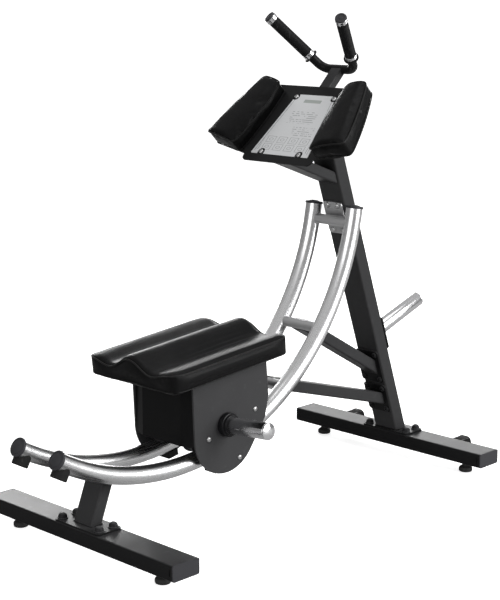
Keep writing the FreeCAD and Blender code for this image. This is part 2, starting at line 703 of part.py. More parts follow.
def bracket_bolt_points():
    return plate_bolt_points(bracket_station(), -1, BRACKET_BOLT_X, BRACKET_BOLT_HALF)


def mast_plate(station, side, width, half_up, bolts):
    """Rounded plate bolted to the mast."""
    face = mast_point(station, side * MAST_DEPTH / 2)
    plate = plate_on(face, MAST_FRONT * side, width, 2 * half_up, MAST_PLATE, FLANGE_CORNER)
    return drill(plate, bolts, MAST_FRONT, SMALL_BOLT_SHANK + BOLT_CLEARANCE, MAST_PLATE * 2)


def brace(station, angle):
    """Rectangular tube from a cross tube of the rails to its flange on the mast."""
    head = mast_point(station, -MAST_DEPTH / 2 - MAST_PLATE)
    tail = arc_point(0, angle, ARC_RADIUS)
    direction = head - tail
    length = direction.Length
    direction.normalize()
    tube = box_tube(tail, direction, length + 2 * BRACE_DEPTH, BRACE_WIDTH, BRACE_DEPTH, FRAME_WALL)
    tube = tube.cut(half_space(head, MAST_FRONT))
    return tube.cut(rod(tail - X_AXIS * BRACE_WIDTH, tail + X_AXIS * BRACE_WIDTH, CROSS_TUBE_RADIUS))


# ---- sleeves that hold weight plates ----

def sleeve_cap(seat, axis):
    """Polished end cap on a weight sleeve."""
    bore = SLEEVE_RADIUS - SLEEVE_WALL
    cap = dome(SLEEVE_RADIUS, CAP_STRAIGHT, CAP_THICKNESS, seat, axis)
    return cap.fuse(rod(seat, seat - axis * CAP_PLUG, bore)).removeSplitter()


def storage_peg():
    start = mast_point(STORAGE_STATION, MAST_DEPTH / 2 + MAST_PLATE)
    return pipe(start, start + MAST_FRONT * (STORAGE_LENGTH - CAP_THICKNESS), SLEEVE_RADIUS,
                SLEEVE_RADIUS - SLEEVE_WALL)


# ---- elbow tray, spine, arm, placard ----

def tray_rotation():
    return lean_to(TRAY_NORMAL)


def tray_extrude(outline, height, thickness):
    """Plate from an outline of (x, along) points, with its upper face at height."""
    points = [Vector(x, s, height - thickness) for x, s in outline]
    plate = Part.Face(Part.makePolygon(points + [points[0]])).extrude(Vector(0, 0, thickness))
    return plate


def to_tray(solid):
    """Carry a solid from tray coordinates (x, along, height) to its place."""
    solid.Placement = Placement(TRAY_ZERO, tray_rotation()).multiply(solid.Placement)
    return solid


def upright_fillet(solid, radius, pick):
    """Round the upright edges of a plate whose (x, along) place passes pick."""
    chosen = []
    for edge in solid.Edges:
        first, last = edge.Vertexes[0].Point, edge.Vertexes[-1].Point
        level = abs(first.x - last.x) < 0.01 and abs(first.y - last.y) < 0.01
        if level and pick(first.x, first.y):
            chosen.append(edge)
    return solid.makeFillet(radius, chosen)


def tray_bolt_places():
    return [(i * TRAY_BOLT_X, s) for i in (-1, 1) for s in (0.0, TRAY_BOLT_UPPER)]


def elbow_tray():
    """Flat sheet with a lower flap and a wing under each elbow pad."""
    half = [(TRAY_FLAP_HALF, TRAY_BOTTOM), (TRAY_FLAP_HALF, TRAY_FLAP_STEP), (TRAY_WING_HALF - 12, TRAY_WING_LOW - 12),
            (TRAY_WING_HALF, TRAY_WING_LOW), (TRAY_TOP_HALF, TRAY_TOP)]
    outline = half + [(-x, s) for x, s in reversed(half)]
    plate = tray_extrude(outline, 0, TRAY_THICKNESS)
    plate = upright_fillet(plate, TRAY_CORNER, lambda x, s: s > TRAY_TOP - 1 or s < TRAY_BOTTOM + 1)
    for x, s in tray_bolt_places():
        hole = Vector(x, s, 0)
        plate = drill(plate, [hole], Z_AXIS, SMALL_BOLT_SHANK + BOLT_CLEARANCE, TRAY_THICKNESS * 2)
    return to_tray(plate)


def strap(station):
    """Cross strap behind the tray, in tray coordinates."""
    low = -TRAY_THICKNESS - STRAP_THICKNESS
    bar = block(-STRAP_HALF, STRAP_HALF, station - STRAP_WIDTH / 2, station + STRAP_WIDTH / 2, low, -TRAY_THICKNESS)
    for sign in (-1, 1):
        bar = drill(bar, [Vector(sign * TRAY_BOLT_X, station, low)], Z_AXIS, SMALL_BOLT_SHANK + BOLT_CLEARANCE,
                    STRAP_THICKNESS * 2)
    return bar


def tray_spine():
    """Tube behind the tray that carries the handlebar, with the upper strap welded on."""
    length = HANDLE_STATION - SPINE_START
    outer = rounded_block(SPINE_WIDTH, SPINE_DEPTH, length, TUBE_CORNER / 2)
    wall = 2 * FRAME_WALL
    inner = rounded_block(SPINE_WIDTH - wall, SPINE_DEPTH - wall, length, 0)
    tube = outer.cut(inner)
    tube.Placement = Placement(Vector(0, SPINE_START, -TRAY_THICKNESS - SPINE_DEPTH / 2), Rotation(X_AXIS, -90))
    spine = tube.fuse(strap(TRAY_BOLT_UPPER))
    middle = handle_height()
    spine = spine.cut(rod(Vector(-SPINE_WIDTH, HANDLE_STATION, middle), Vector(SPINE_WIDTH, HANDLE_STATION, middle),
                          BAR_RADIUS))
    return to_tray(spine.removeSplitter())


def tray_arm():
    """Flat tube from the mast to the foot of the tray, with the lower strap welded on."""
    head = mast_point(ARM_STATION, -MAST_DEPTH / 2)
    tail = tray_point(0, ARM_TRAY_STATION, -TRAY_THICKNESS)
    direction = tail - head
    length = direction.Length
    direction.normalize()
    start = head - direction * POST_WIDTH
    tube = box_tube(start, direction, length + 2 * POST_WIDTH, POST_WIDTH, ARM_DEPTH, FRAME_WALL)
    tube = tube.cut(half_space(mast_point(0, -MAST_DEPTH / 2), MAST_FRONT))
    tube = tube.cut(half_space(tray_point(0, 0, -TRAY_THICKNESS), TRAY_NORMAL))
    return tube.fuse(to_tray(strap(0.0))).removeSplitter()


def placard():
    """Thin plate between the elbow pads, notched round the tray bolts."""
    outline = [(-PLACARD_BOTTOM_HALF, PLACARD_BOTTOM), (PLACARD_BOTTOM_HALF, PLACARD_BOTTOM),
               (PLACARD_TOP_HALF, PLACARD_TOP), (-PLACARD_TOP_HALF, PLACARD_TOP)]
    plate = tray_extrude(outline, PLACARD_THICKNESS, PLACARD_THICKNESS)
    plate = upright_fillet(plate, 4, lambda x, s: s < 0)
    for x, s in tray_bolt_places():
        below = s - PLACARD_NOTCH if s == 0 else s
        hole = rod(Vector(x, s, -1), Vector(x, s, PLACARD_THICKNESS + 1), PLACARD_NOTCH)
        if s == 0:
            hole = hole.fuse(block(x - PLACARD_NOTCH, x + PLACARD_NOTCH, below - PLACARD_NOTCH, s, -1,
                                   PLACARD_THICKNESS + 1))
        else:
            edge = x + math.copysign(2 * PLACARD_NOTCH, x)
            hole = hole.fuse(block(min(x, edge), max(x, edge), s, s + 2 * PLACARD_NOTCH, -1, PLACARD_THICKNESS + 1))
        plate = plate.cut(hole)
    return to_tray(plate.removeSplitter())


def tray_bolt(x, s):
    """Domed bolt through the tray into the strap behind it."""
    head = dome(TRAY_BOLT_HEAD, 2, 5, Vector(x, s, 0), Z_AXIS)
    reach = TRAY_THICKNESS + STRAP_THICKNESS + 6
    bolt = head.fuse(rod(Vector(x, s, 0), Vector(x, s, -reach), SMALL_BOLT_SHANK))
    return to_tray(bolt)


def pad_end(inner, outer, thickness):
    """Closed end outline of an elbow pad, in tray coordinates: flat below, crowned on top."""
    low_inner, low_outer = Vector(inner[0], inner[1], PAD_GAP), Vector(outer[0], outer[1], PAD_GAP)
    top_inner, top_outer = low_inner + Z_AXIS * thickness[0], low_outer + Z_AXIS * thickness[1]
    middle = (top_inner + top_outer) / 2 + Z_AXIS * ELBOW_CROWN
    sides = [Part.LineSegment(a, b).toShape() for a, b in
             ((top_inner, low_inner), (low_inner, low_outer), (low_outer, top_outer))]
    return Part.Wire(sides + [Part.Arc(top_outer, middle, top_inner).toShape()])


def elbow_pad():
    """Right elbow pad: narrower and thinner towards the handlebar. Soft, so it stays plain."""
    low = pad_end(ELBOW_LOW_INNER, ELBOW_LOW_OUTER, ELBOW_LOW_THICKNESS)
    high = pad_end(ELBOW_HIGH_INNER, ELBOW_HIGH_OUTER, ELBOW_HIGH_THICKNESS)
    pad = Part.makeLoft([low, high], True, True)
    pad = pad.makeFillet(ELBOW_ROUND, [e for e in pad.Edges if e.BoundBox.ZMax > ELBOW_ROUND * 2])
    return to_tray(pad)


# ---- handlebar and grips ----

def handle_height():
    return -TRAY_THICKNESS - SPINE_DEPTH / 2


def grip_axis(sign):
    """Direction of a grip, in tray coordinates."""
    return Vector(sign * sin(GRIP_SPLAY), 0, cos(GRIP_SPLAY))


def handle_corner(sign):
    return Vector(sign * BAR_HALF, HANDLE_STATION, handle_height())


def bar_solid(radius):
    """Round bar with two bends, in tray coordinates."""
    half_turn = (90 - GRIP_SPLAY) / 2
    setback = BAR_BEND * tan(half_turn)
    end = GRIP_START + GRIP_LENGTH - GRIP_PLUG
    left, right = handle_corner(-1), handle_corner(1)
    path = []
    for sign, corner in ((-1, left), (1, right)):
        axis = grip_axis(sign)
        inner = corner - X_AXIS * (sign * setback)
        outer = corner + axis * setback
        inward = (axis - X_AXIS * sign).normalize()
        middle = corner + inward * (BAR_BEND / cos(half_turn) - BAR_BEND)
        path.append(Part.Arc(inner, middle, outer).toShape())
        path.append(Part.LineSegment(outer, corner + axis * end).toShape())
    path.append(Part.LineSegment(left + X_AXIS * setback, right - X_AXIS * setback).toShape())
    wire = Part.Wire(Part.sortEdges(path)[0])
    first = wire.OrderedVertexes[0].Point
    second = wire.OrderedVertexes[1].Point
    circle = Part.Wire(Part.makeCircle(radius, first, second - first))
    return wire.makePipeShell([circle], True, False)


def handlebar():
    return to_tray(bar_solid(BAR_RADIUS).cut(bar_solid(BAR_RADIUS - BAR_WALL)))


def grip_base(sign):
    return handle_corner(sign) + grip_axis(sign) * GRIP_START


def hand_grip(sign):
    """Ribbed rubber sleeve with a flange at its inner end."""
    end = GRIP_LENGTH - GRIP_PLUG
    neck = GRIP_FLANGE + COLLAR_LENGTH
    body_end = end - COLLAR_LENGTH
    profile = [(BAR_RADIUS, 0), (GRIP_FLANGE_RADIUS, 0), (GRIP_FLANGE_RADIUS, GRIP_FLANGE),
               (GRIP_NECK, GRIP_FLANGE), (GRIP_NECK, neck), (GRIP_RADIUS, neck), (GRIP_RADIUS, body_end),
               (GRIP_NECK, body_end), (GRIP_NECK, end), (BAR_RADIUS, end)]
    return to_tray(turned(profile, grip_base(sign), grip_axis(sign)))


def grip_collar(sign, start):
    """Metal ring on the neck of a grip."""
    low, high = start, start + COLLAR_LENGTH
    profile = [(GRIP_NECK, low), (COLLAR_RADIUS - 1, low), (COLLAR_RADIUS, low + 1), (COLLAR_RADIUS, high - 1),
               (COLLAR_RADIUS - 1, high), (GRIP_NECK, high)]
    return to_tray(turned(profile, grip_base(sign), grip_axis(sign)))


def grip_plug(sign):
    """Plastic plug in the end of the bar."""
    start = GRIP_LENGTH - GRIP_PLUG
    bore = BAR_RADIUS - BAR_WALL
    rim = GRIP_RADIUS
    profile = [(0, start - 15), (bore, start - 15), (bore, start), (rim, start), (rim, start + GRIP_PLUG - 2),
               (rim - 2, start + GRIP_PLUG), (rim - 5, start + GRIP_PLUG), (rim - 6, start + GRIP_PLUG - 1.5),
               (6, start + GRIP_PLUG - 1.5), (5, start + GRIP_PLUG), (0, start + GRIP_PLUG)]
    return to_tray(turned(profile, grip_base(sign), grip_axis(sign)))


# ---- carriage ----

def carriage_point(x, y, z):
    """Point of the carriage, from its reference point on the rails' centre line."""
    return Vector(x, CARRIAGE_Y + y, CARRIAGE_Z + z)


def roller_places():
    """Name, angle, axle radius, groove radius, half width and bush radius of each roller of one side."""
    upper = (UPPER_AXLE, ROLLER_RADIUS, ROLLER_HALF_WIDTH, ROLLER_BUSH_RADIUS)
    lower = (LOWER_AXLE, LOWER_ROLLER_RADIUS, LOWER_ROLLER_HALF, LOWER_BUSH_RADIUS)
    return [("rear_upper", CARRIAGE_ANGLE - ROLLER_STEP) + upper,
            ("front_upper", CARRIAGE_ANGLE + ROLLER_STEP) + upper,
            ("lower", CARRIAGE_ANGLE) + lower]


def roller(sign, angle, axle, radius, half, bush):
    """Roller whose groove fits round the rail tube."""
    to_rail = abs(ARC_RADIUS - axle)
    groove = RAIL_RADIUS + ROLL_GAP
    edge = half - 2
    rim = to_rail - math.sqrt(groove * groove - edge * edge)
    bore = bush + BUSH_FIT
    points = [Vector(bore, 0, -half), Vector(rim, 0, -half), Vector(rim, 0, -edge)]
    back = [Vector(rim, 0, edge), Vector(rim, 0, half), Vector(bore, 0, half), points[0]]
    lines = [Part.LineSegment(a, b).toShape() for a, b in zip(points, points[1:])]
    lines.append(Part.Arc(points[-1], Vector(radius, 0, 0), back[0]).toShape())
    lines += [Part.LineSegment(a, b).toShape() for a, b in zip(back, back[1:])]
    solid = Part.Face(Part.Wire(lines)).revolve(Vector(0, 0, 0), Z_AXIS, FULL)
    solid.Placement = Placement(arc_point(sign * RAIL_X, angle, axle), turn_to(X_AXIS))
    return solid


def roller_bush(sign, angle, axle, radius, half, bush):
    """Plain bush between a roller and its bolt, held against the side plate by a spacer."""
    centre = arc_point(sign * RAIL_X, angle, axle)
    outward = X_AXIS * sign
    spacer = SIDE_PLATE_INNER - RAIL_X
    inner_end = centre - outward * (half + 3)
    body = rod(centre - outward * (half + 0.3), centre + outward * (half + 0.3), bush)
    spacer_rod = rod(centre + outward * (half + 0.3), centre + outward * spacer, bush - 1)
    washer = rod(inner_end, centre - outward * (half + 0.3), bush + 2)
    bush_solid = body.fuse([spacer_rod, washer])
    reach = FAR / 10
    bush_solid = bush_solid.cut(rod(centre - outward * reach, centre + outward * reach, ROLLER_BOLT_RADIUS))
    return bush_solid.removeSplitter()


def roller_bolt(sign, angle, axle, half):
    """Shoulder bolt from the outside of the side plate to a nut at the roller's inner end."""
    centre = arc_point(sign * RAIL_X, angle, axle)
    outward = X_AXIS * sign
    seat = Vector(sign * SIDE_PLATE_OUTER, centre.y, centre.z)
    head = dome(ROLLER_BOLT_HEAD, 1.5, ROLLER_BOLT_HEIGHT, seat, outward)
    inner_end = centre - outward * (half + 3)
    nut = rod(inner_end, inner_end - outward * 6, ROLLER_BOLT_RADIUS + 3)
    return head.fuse([rod(seat, inner_end - outward * 6, ROLLER_BOLT_RADIUS), nut]).removeSplitter()


def seat_height(y):
    """Height of the knee pad's underside over the carriage point."""
    return KNEE_REAR_Z + (y - KNEE_REAR_Y) * tan(KNEE_PITCH)


def side_plate(sign):
    """Plate with a round foot, a straight rear edge and a nosed front edge."""
    def at(y, z):
        return carriage_point(sign * SIDE_PLATE_INNER, y, z)

    top_gap = (SEAT_SHEET + PAD_GAP) / cos(KNEE_PITCH)
    rear_top = at(PLATE_TOP_REAR_Y, seat_height(PLATE_TOP_REAR_Y) - top_gap)
    front_top = at(PLATE_TOP_FRONT_Y, seat_height(PLATE_TOP_FRONT_Y) - top_gap)
    rear_side = at(PLATE_CENTRE_Y - PLATE_RADIUS, PLATE_CENTRE_Z)
    foot = at(PLATE_CENTRE_Y, PLATE_CENTRE_Z - PLATE_RADIUS)
    end_y = PLATE_CENTRE_Y + PLATE_RADIUS * cos(PLATE_FRONT_TANGENT)
    end_z = PLATE_CENTRE_Z - PLATE_RADIUS * sin(PLATE_FRONT_TANGENT)
    front_side = at(end_y, end_z)
    # straight on from the round foot, up to the height where the nose starts
    chin_y = PLATE_NOSE_Y - 12
    chin = at(chin_y, end_z + (chin_y - end_y) / tan(PLATE_FRONT_TANGENT))
    nose = at(PLATE_NOSE_Y, PLATE_NOSE_Z)
    edges = [Part.LineSegment(rear_top, rear_side).toShape(),
             Part.Arc(rear_side, foot, front_side).toShape(),
             Part.LineSegment(front_side, chin).toShape(),
             Part.LineSegment(chin, nose).toShape(),
             Part.LineSegment(nose, front_top).toShape(),
             Part.LineSegment(front_top, rear_top).toShape()]
    plate = Part.Face(Part.Wire(edges)).extrude(Vector(sign * SIDE_PLATE, 0, 0))
    rounds = [e for e in plate.Edges if abs(e.Vertexes[0].X - e.Vertexes[-1].X) > SIDE_PLATE / 2
              and min(e.Vertexes[0].Point.distanceToPoint(p) for p in (chin, nose)) < SIDE_PLATE + 1]
    plate = plate.makeFillet(PLATE_NOSE_ROUND, rounds)
    for name, angle, axle, radius, half, bush in roller_places():
        plate = drill(plate, [arc_point(sign * SIDE_PLATE_INNER, angle, axle)], X_AXIS,
                      ROLLER_BOLT_RADIUS + BOLT_FIT, SIDE_PLATE * 2)
    return plate


def seat_pan():
    """Folded sheet under the knee pad, with a flange down the front between the side plates."""
    rear_y = PLATE_TOP_REAR_Y - 30
    front_y = PLATE_TOP_FRONT_Y + 6
    length = (front_y - rear_y) / cos(KNEE_PITCH)
    along = Vector(0, cos(KNEE_PITCH), sin(KNEE_PITCH))
    up = Vector(0, -sin(KNEE_PITCH), cos(KNEE_PITCH))
    start = carriage_point(0, rear_y, seat_height(rear_y))
    sheet = rounded_block(2 * SEAT_HALF, length, SEAT_SHEET, 20)
    sheet.Placement = Placement(start + along * (length / 2) - up * (SEAT_SHEET + PAD_GAP), lean_to(up))
    inner = SIDE_PLATE_INNER
    flange_top = seat_height(PLATE_TOP_FRONT_Y)
    flange = block(-inner, inner, CARRIAGE_Y + PLATE_TOP_FRONT_Y - COVER_SHEET, CARRIAGE_Y + PLATE_TOP_FRONT_Y,
                   CARRIAGE_Z + FRONT_FLANGE_BOTTOM, CARRIAGE_Z + flange_top - SEAT_SHEET / 2 - PAD_GAP)
    return sheet.fuse(flange).removeSplitter()


def rear_cover():
    """Folded sheet that closes the rear of the carriage between the side plates."""
    edge = SIDE_PLATE_INNER
    rear = CARRIAGE_Y + PLATE_TOP_REAR_Y + 10
    low = CARRIAGE_Z + COVER_BOTTOM
    outline = [(-edge, rear), (-COVER_FLAT_HALF, rear - COVER_FOLD), (COVER_FLAT_HALF, rear - COVER_FOLD),
               (edge, rear)]
    back = [(x, y + COVER_SHEET) for x, y in reversed(outline)]
    points = [Vector(x, y, low) for x, y in outline + back]
    cover = Part.Face(Part.makePolygon(points + [points[0]])).extrude(Vector(0, 0, FAR / 5))
    up = Vector(0, -sin(KNEE_PITCH), cos(KNEE_PITCH))
    under = carriage_point(0, KNEE_REAR_Y, KNEE_REAR_Z) - up * (SEAT_SHEET + PAD_GAP)
    return cover.cut(half_space(under, up))


def travel_bumper(sign):
    """Bumper inside a side plate, under the rail, that meets the rail stop at the end of travel."""
    centre = arc_point(0, BUMPER_ANGLE, ARC_RADIUS + RAIL_RADIUS + BUMPER_GAP + BUMPER_HEIGHT / 2)
    width = SIDE_PLATE_INNER - BUMPER_INNER_X
    bumper = rounded_block(width, BUMPER_LENGTH, BUMPER_HEIGHT, 4, -BUMPER_HEIGHT / 2)
    middle = Vector(sign * (BUMPER_INNER_X + width / 2), centre.y, centre.z)
    bumper.Placement = Placement(middle, lean_to(arc_inward(BUMPER_ANGLE)))
    return bumper.cut(arc_bar(sign * RAIL_X, RAIL_RADIUS + BUMPER_GAP, BUMPER_ANGLE - 5, BUMPER_ANGLE + 5))


def peg_axis(sign):
    return Vector(sign * cos(PEG_TILT), 0, sin(PEG_TILT))


def peg_seat(sign):
    return carriage_point(sign * SIDE_PLATE_OUTER, PLATE_CENTRE_Y, PEG_Z)


def outside_plate(sign):
    return half_space(Vector(sign * SIDE_PLATE_OUTER, 0, 0), X_AXIS * sign)


def peg_collar(sign):
    """Stepped collar that seats the weight plates clear of the side plate."""
    seat = peg_seat(sign)
    axis = peg_axis(sign)
    top = PEG_COLLAR_LENGTH + PEG_RING_LENGTH
    profile = [(PEG_NECK_RADIUS, -10), (PEG_COLLAR_RADIUS, -10), (PEG_COLLAR_RADIUS, PEG_COLLAR_LENGTH - 2),
               (PEG_COLLAR_RADIUS - 2, PEG_COLLAR_LENGTH), (PEG_RING_RADIUS, PEG_COLLAR_LENGTH),
               (PEG_RING_RADIUS, top), (PEG_NECK_RADIUS, top)]
    return turned(profile, seat, axis).common(outside_plate(sign))


def weight_peg(sign):
    """Sleeve with a thinner neck inside the collar, welded to the side plate."""
    bore = SLEEVE_RADIUS - SLEEVE_WALL
    shoulder = PEG_COLLAR_LENGTH + PEG_RING_LENGTH
    profile = [(bore, -10), (PEG_NECK_RADIUS, -10), (PEG_NECK_RADIUS, shoulder), (SLEEVE_RADIUS, shoulder),
               (SLEEVE_RADIUS, PEG_REACH), (bore, PEG_REACH)]
    return turned(profile, peg_seat(sign), peg_axis(sign)).common(outside_plate(sign))


def knee_pad():
    """Knee pad with two channels and a centre ridge. Soft, so it stays plain."""
    edge, crest, valley = KNEE_EDGE, KNEE_EDGE + KNEE_CREST, KNEE_EDGE - KNEE_VALLEY
    shoulder = KNEE_HALF * 0.86
    waist = (KNEE_VALLEY_X) / 2
    knots = [(-KNEE_HALF, edge - 4), (-shoulder, edge), (-KNEE_VALLEY_X, valley), (-waist, (valley + crest) / 2),
             (0, crest), (waist, (valley + crest) / 2), (KNEE_VALLEY_X, valley), (shoulder, edge),
             (KNEE_HALF, edge - 4)]
    curve = Part.BSplineCurve()
    curve.interpolate([Vector(x, 0, z) for x, z in knots])
    left, right = Vector(-KNEE_HALF, 0, 0), Vector(KNEE_HALF, 0, 0)
    first, last = Vector(-KNEE_HALF, 0, edge - 4), Vector(KNEE_HALF, 0, edge - 4)
    edges = [Part.LineSegment(first, left).toShape(), Part.LineSegment(left, right).toShape(),
             Part.LineSegment(right, last).toShape(), curve.toShape()]
    pad = Part.Face(Part.Wire(Part.sortEdges(edges)[0])).extrude(Vector(0, KNEE_LENGTH, 0))
    plan = rounded_block(2 * KNEE_HALF, KNEE_LENGTH, FAR / 10, KNEE_CORNER, -1)
    plan.translate(Vector(0, KNEE_LENGTH / 2, 0))
    pad = pad.common(plan)
    bottom = [e for e in pad.Edges if e.BoundBox.ZMax < 0.01]
    pad = pad.makeFillet(KNEE_BOTTOM_ROUND, bottom)
    pad.Placement = Placement(carriage_point(0, KNEE_REAR_Y, KNEE_REAR_Z), Rotation(X_AXIS, KNEE_PITCH))
    return pad


# ---- every node ----

STATIONS = {"rear": 0.0, "front": WHEELBASE}

for end, station in STATIONS.items():
    save(end + "_stabiliser", stabiliser(station))
    for side, point in foot_points(station).items():
        save("levelling_foot_%s_%s" % (end, side), levelling_foot(point))

save("stabiliser_end_caps", *[end_cap(s, sign) for s in STATIONS.values() for sign in SIDES.values()])
save("base_plates", *[base_plate(s) for s in STATIONS.values()])
save("base_plate_bolts", *[base_bolt(p) for s in STATIONS.values() for p in base_bolt_points(s, PLATE_TOP)])
save("wheel_brackets", *[wheel_bracket(sign) for sign in SIDES.values()])
save("wheel_axles", *[wheel_axle(sign) for sign in SIDES.values()])

save("rear_post", rear_post())
save("rail_saddle", rail_saddle())
save("rail_end_plugs", *[rail_plug(sign * RAIL_X, angle, outward) for sign in SIDES.values()
                         for angle, outward in ((RAIL_REAR_ANGLE, -1), (RAIL_FRONT_ANGLE, 1))])
save("rail_stops", *[rail_stop(sign * RAIL_X) for sign in SIDES.values()])
save("rail_cross_tubes", *[cross_tube(a) for a in (TOP_TUBE_ANGLE, MIDDLE_TUBE_ANGLE, LOWER_TUBE_ANGLE)])

save("mast", mast())
save("rail_top_bracket", mast_plate(bracket_station(), -1, BRACKET_WIDTH, BRACKET_HALF, bracket_bolt_points()))
save("top_bracket_bolts", *[small_bolt(p, MAST_FRONT * -1) for p in bracket_bolt_points()])
save("upper_brace", brace(UPPER_BRACE_STATION, MIDDLE_TUBE_ANGLE))
save("lower_brace", brace(LOWER_BRACE_STATION, LOWER_TUBE_ANGLE))
UPPER_SEATS = brace_bolt_points(UPPER_BRACE_STATION, UPPER_BOLT_HALF)
LOWER_SEATS = brace_bolt_points(LOWER_BRACE_STATION, LOWER_BOLT_HALF)
save("brace_flanges",
     mast_plate(UPPER_BRACE_STATION, -1, MAST_WIDTH, UPPER_FLANGE_HALF, UPPER_SEATS),
     mast_plate(LOWER_BRACE_STATION, -1, MAST_WIDTH, LOWER_FLANGE_HALF, LOWER_SEATS))
save("storage_peg_flange", mast_plate(STORAGE_STATION, 1, MAST_WIDTH, STORAGE_FLANGE_HALF, storage_bolt_points()))
save("flange_bolts",
     *[small_bolt(p, MAST_FRONT * -1) for p in UPPER_SEATS + LOWER_SEATS],
     *[small_bolt(p, MAST_FRONT) for p in storage_bolt_points()],
     *[small_bolt(p, arc_inward(POST_ANGLE)) for p in saddle_bolt_points()])
save("storage_peg", storage_peg())
save("storage_peg_cap", sleeve_cap(
    mast_point(STORAGE_STATION, MAST_DEPTH / 2 + MAST_PLATE + STORAGE_LENGTH - CAP_THICKNESS), MAST_FRONT))

save("elbow_tray", elbow_tray())
save("tray_spine", tray_spine())
save("tray_arm", tray_arm())
save("placard", placard())
save("tray_bolts", *[tray_bolt(x, s) for x, s in tray_bolt_places()])
save("handlebar", handlebar())
save("grip_collars", *[grip_collar(sign, start) for sign in SIDES.values()
                       for start in (GRIP_FLANGE, GRIP_LENGTH - GRIP_PLUG - COLLAR_LENGTH)])
save("grip_end_plugs", *[grip_plug(sign) for sign in SIDES.values()])

save("seat_pan", seat_pan())
save("rear_cover", rear_cover())
save("knee_pad", knee_pad())
save("travel_bumpers", *[travel_bumper(sign) for sign in SIDES.values()])
save("weight_peg_collar", peg_collar(PEG_SIDE))
save("weight_peg", weight_peg(PEG_SIDE))
save("weight_peg_cap", sleeve_cap(peg_seat(PEG_SIDE) + peg_axis(PEG_SIDE) * PEG_REACH, peg_axis(PEG_SIDE)))

BUSHES = []
BOLTS = []
for side, sign in SIDES.items():
    save(side + "_rail", rail(sign * RAIL_X))
    save(side + "_transport_wheel", transport_wheel(sign))
    save(side + "_elbow_pad", elbow_pad() if sign > 0 else mirror_x(elbow_pad()))
    save(side + "_hand_grip", hand_grip(sign))
    save(side + "_side_plate", side_plate(sign))
    for name, angle, axle, radius, half, bush in roller_places():
        save("%s_%s_roller" % (side, name), roller(sign, angle, axle, radius, half, bush))
        BUSHES.append(roller_bush(sign, angle, axle, radius, half, bush))
        BOLTS.append(roller_bolt(sign, angle, axle, half))
save("roller_bushes", *BUSHES)
save("roller_bolts", *BOLTS)

print("arc radius %.1f centre y %.1f z %.1f, origin shift %.1f" % (ARC_RADIUS, ARC_Y, ARC_Z, SHIFT.y))
print("carriage point y %.1f z %.1f" % (CARRIAGE_Y, CARRIAGE_Z))
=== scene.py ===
import json
import logging
import math
from dataclasses import dataclass
from enum import Enum
from typing import Iterable, Sequence

import bmesh
import bpy
from mathutils import Matrix, Vector, noise


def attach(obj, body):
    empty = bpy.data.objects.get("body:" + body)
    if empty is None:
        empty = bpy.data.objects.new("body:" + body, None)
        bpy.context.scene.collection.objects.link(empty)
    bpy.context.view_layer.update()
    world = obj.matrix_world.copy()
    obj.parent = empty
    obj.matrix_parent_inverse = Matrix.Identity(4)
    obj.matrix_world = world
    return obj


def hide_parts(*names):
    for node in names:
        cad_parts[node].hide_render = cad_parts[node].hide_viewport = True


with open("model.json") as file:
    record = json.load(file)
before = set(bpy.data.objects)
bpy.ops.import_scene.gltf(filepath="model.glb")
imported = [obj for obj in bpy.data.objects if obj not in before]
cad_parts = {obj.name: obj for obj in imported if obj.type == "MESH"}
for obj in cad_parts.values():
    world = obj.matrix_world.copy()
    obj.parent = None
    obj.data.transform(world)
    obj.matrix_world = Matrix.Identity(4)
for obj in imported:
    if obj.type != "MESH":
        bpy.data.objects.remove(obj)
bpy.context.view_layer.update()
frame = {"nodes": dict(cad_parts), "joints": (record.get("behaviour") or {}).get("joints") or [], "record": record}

LOG = logging.getLogger("ab_machine")
FULL_TURN = 2 * math.pi
MM = 0.001
UP = Vector((0, 0, 1))
ACROSS = Vector((1, 0, 0))
ORIGIN = Vector((0, 0, 0))
Colour = tuple[float, float, float]
Form = bmesh.types.BMesh
Profile = Sequence[tuple[float, float]]
SAME_PLACE = 1e-6


class Side(Enum):
    """Left and right of the kneeling user, as a sign along X."""

    LEFT = -1
    RIGHT = 1

    @property
    def label(self) -> str:
        """Word that starts the names of this side's pieces."""
        return self.name.lower()


# ---- shader arithmetic ----


class Sock:
    """A shader socket that takes part in Python arithmetic."""

    def __init__(self, recipe: "Recipe", socket: bpy.types.NodeSocket) -> None:
        """Keep the socket and the recipe that adds nodes for it."""
        self.recipe = recipe
        self.socket = socket

    def _maths(self, operation: str, *values: "Sock | float") -> "Sock":
        """Add one Math node."""
        return self.recipe.node("ShaderNodeMath", {"operation": operation}, dict(enumerate(values)))

    def __add__(self, other: "Sock | float") -> "Sock":
        """Sum."""
        return self._maths("ADD", self, other)

    def __sub__(self, other: "Sock | float") -> "Sock":
        """Difference."""
        return self._maths("SUBTRACT", self, other)

    def __rsub__(self, other: float) -> "Sock":
        """Difference from a number."""
        return self._maths("SUBTRACT", other, self)

    def __mul__(self, other: "Sock | float") -> "Sock":
        """Product."""
        return self._maths("MULTIPLY", self, other)

    def __pow__(self, other: float) -> "Sock":
        """Power."""
        return self._maths("POWER", self, other)

    __radd__ = __add__
    __rmul__ = __mul__

    def apply(self, operation: str, *others: "Sock | float") -> "Sock":
        """Any other Math operation, such as a sine or a maximum."""
        return self._maths(operation, self, *others)

    def step(self, low: float, high: float) -> "Sock":
        """Smooth step from 0 at low to 1 at high.

        Args:
            low: Value where the step starts.
            high: Value where the step ends; it may be less than low.

        Returns:
            The step's socket.
        """
        settings = {"interpolation_type": "SMOOTHSTEP"}
        if low > high:
            return 1 - self.step(high, low)
        return self.recipe.node("ShaderNodeMapRange", settings, {0: self, 1: low, 2: high})

    def near(self, centre: float, half: float, soft: float) -> "Sock":
        """Band that is 1 within half of a centre and fades out over soft."""
        return (self - centre).apply("ABSOLUTE").step(half + soft, half)


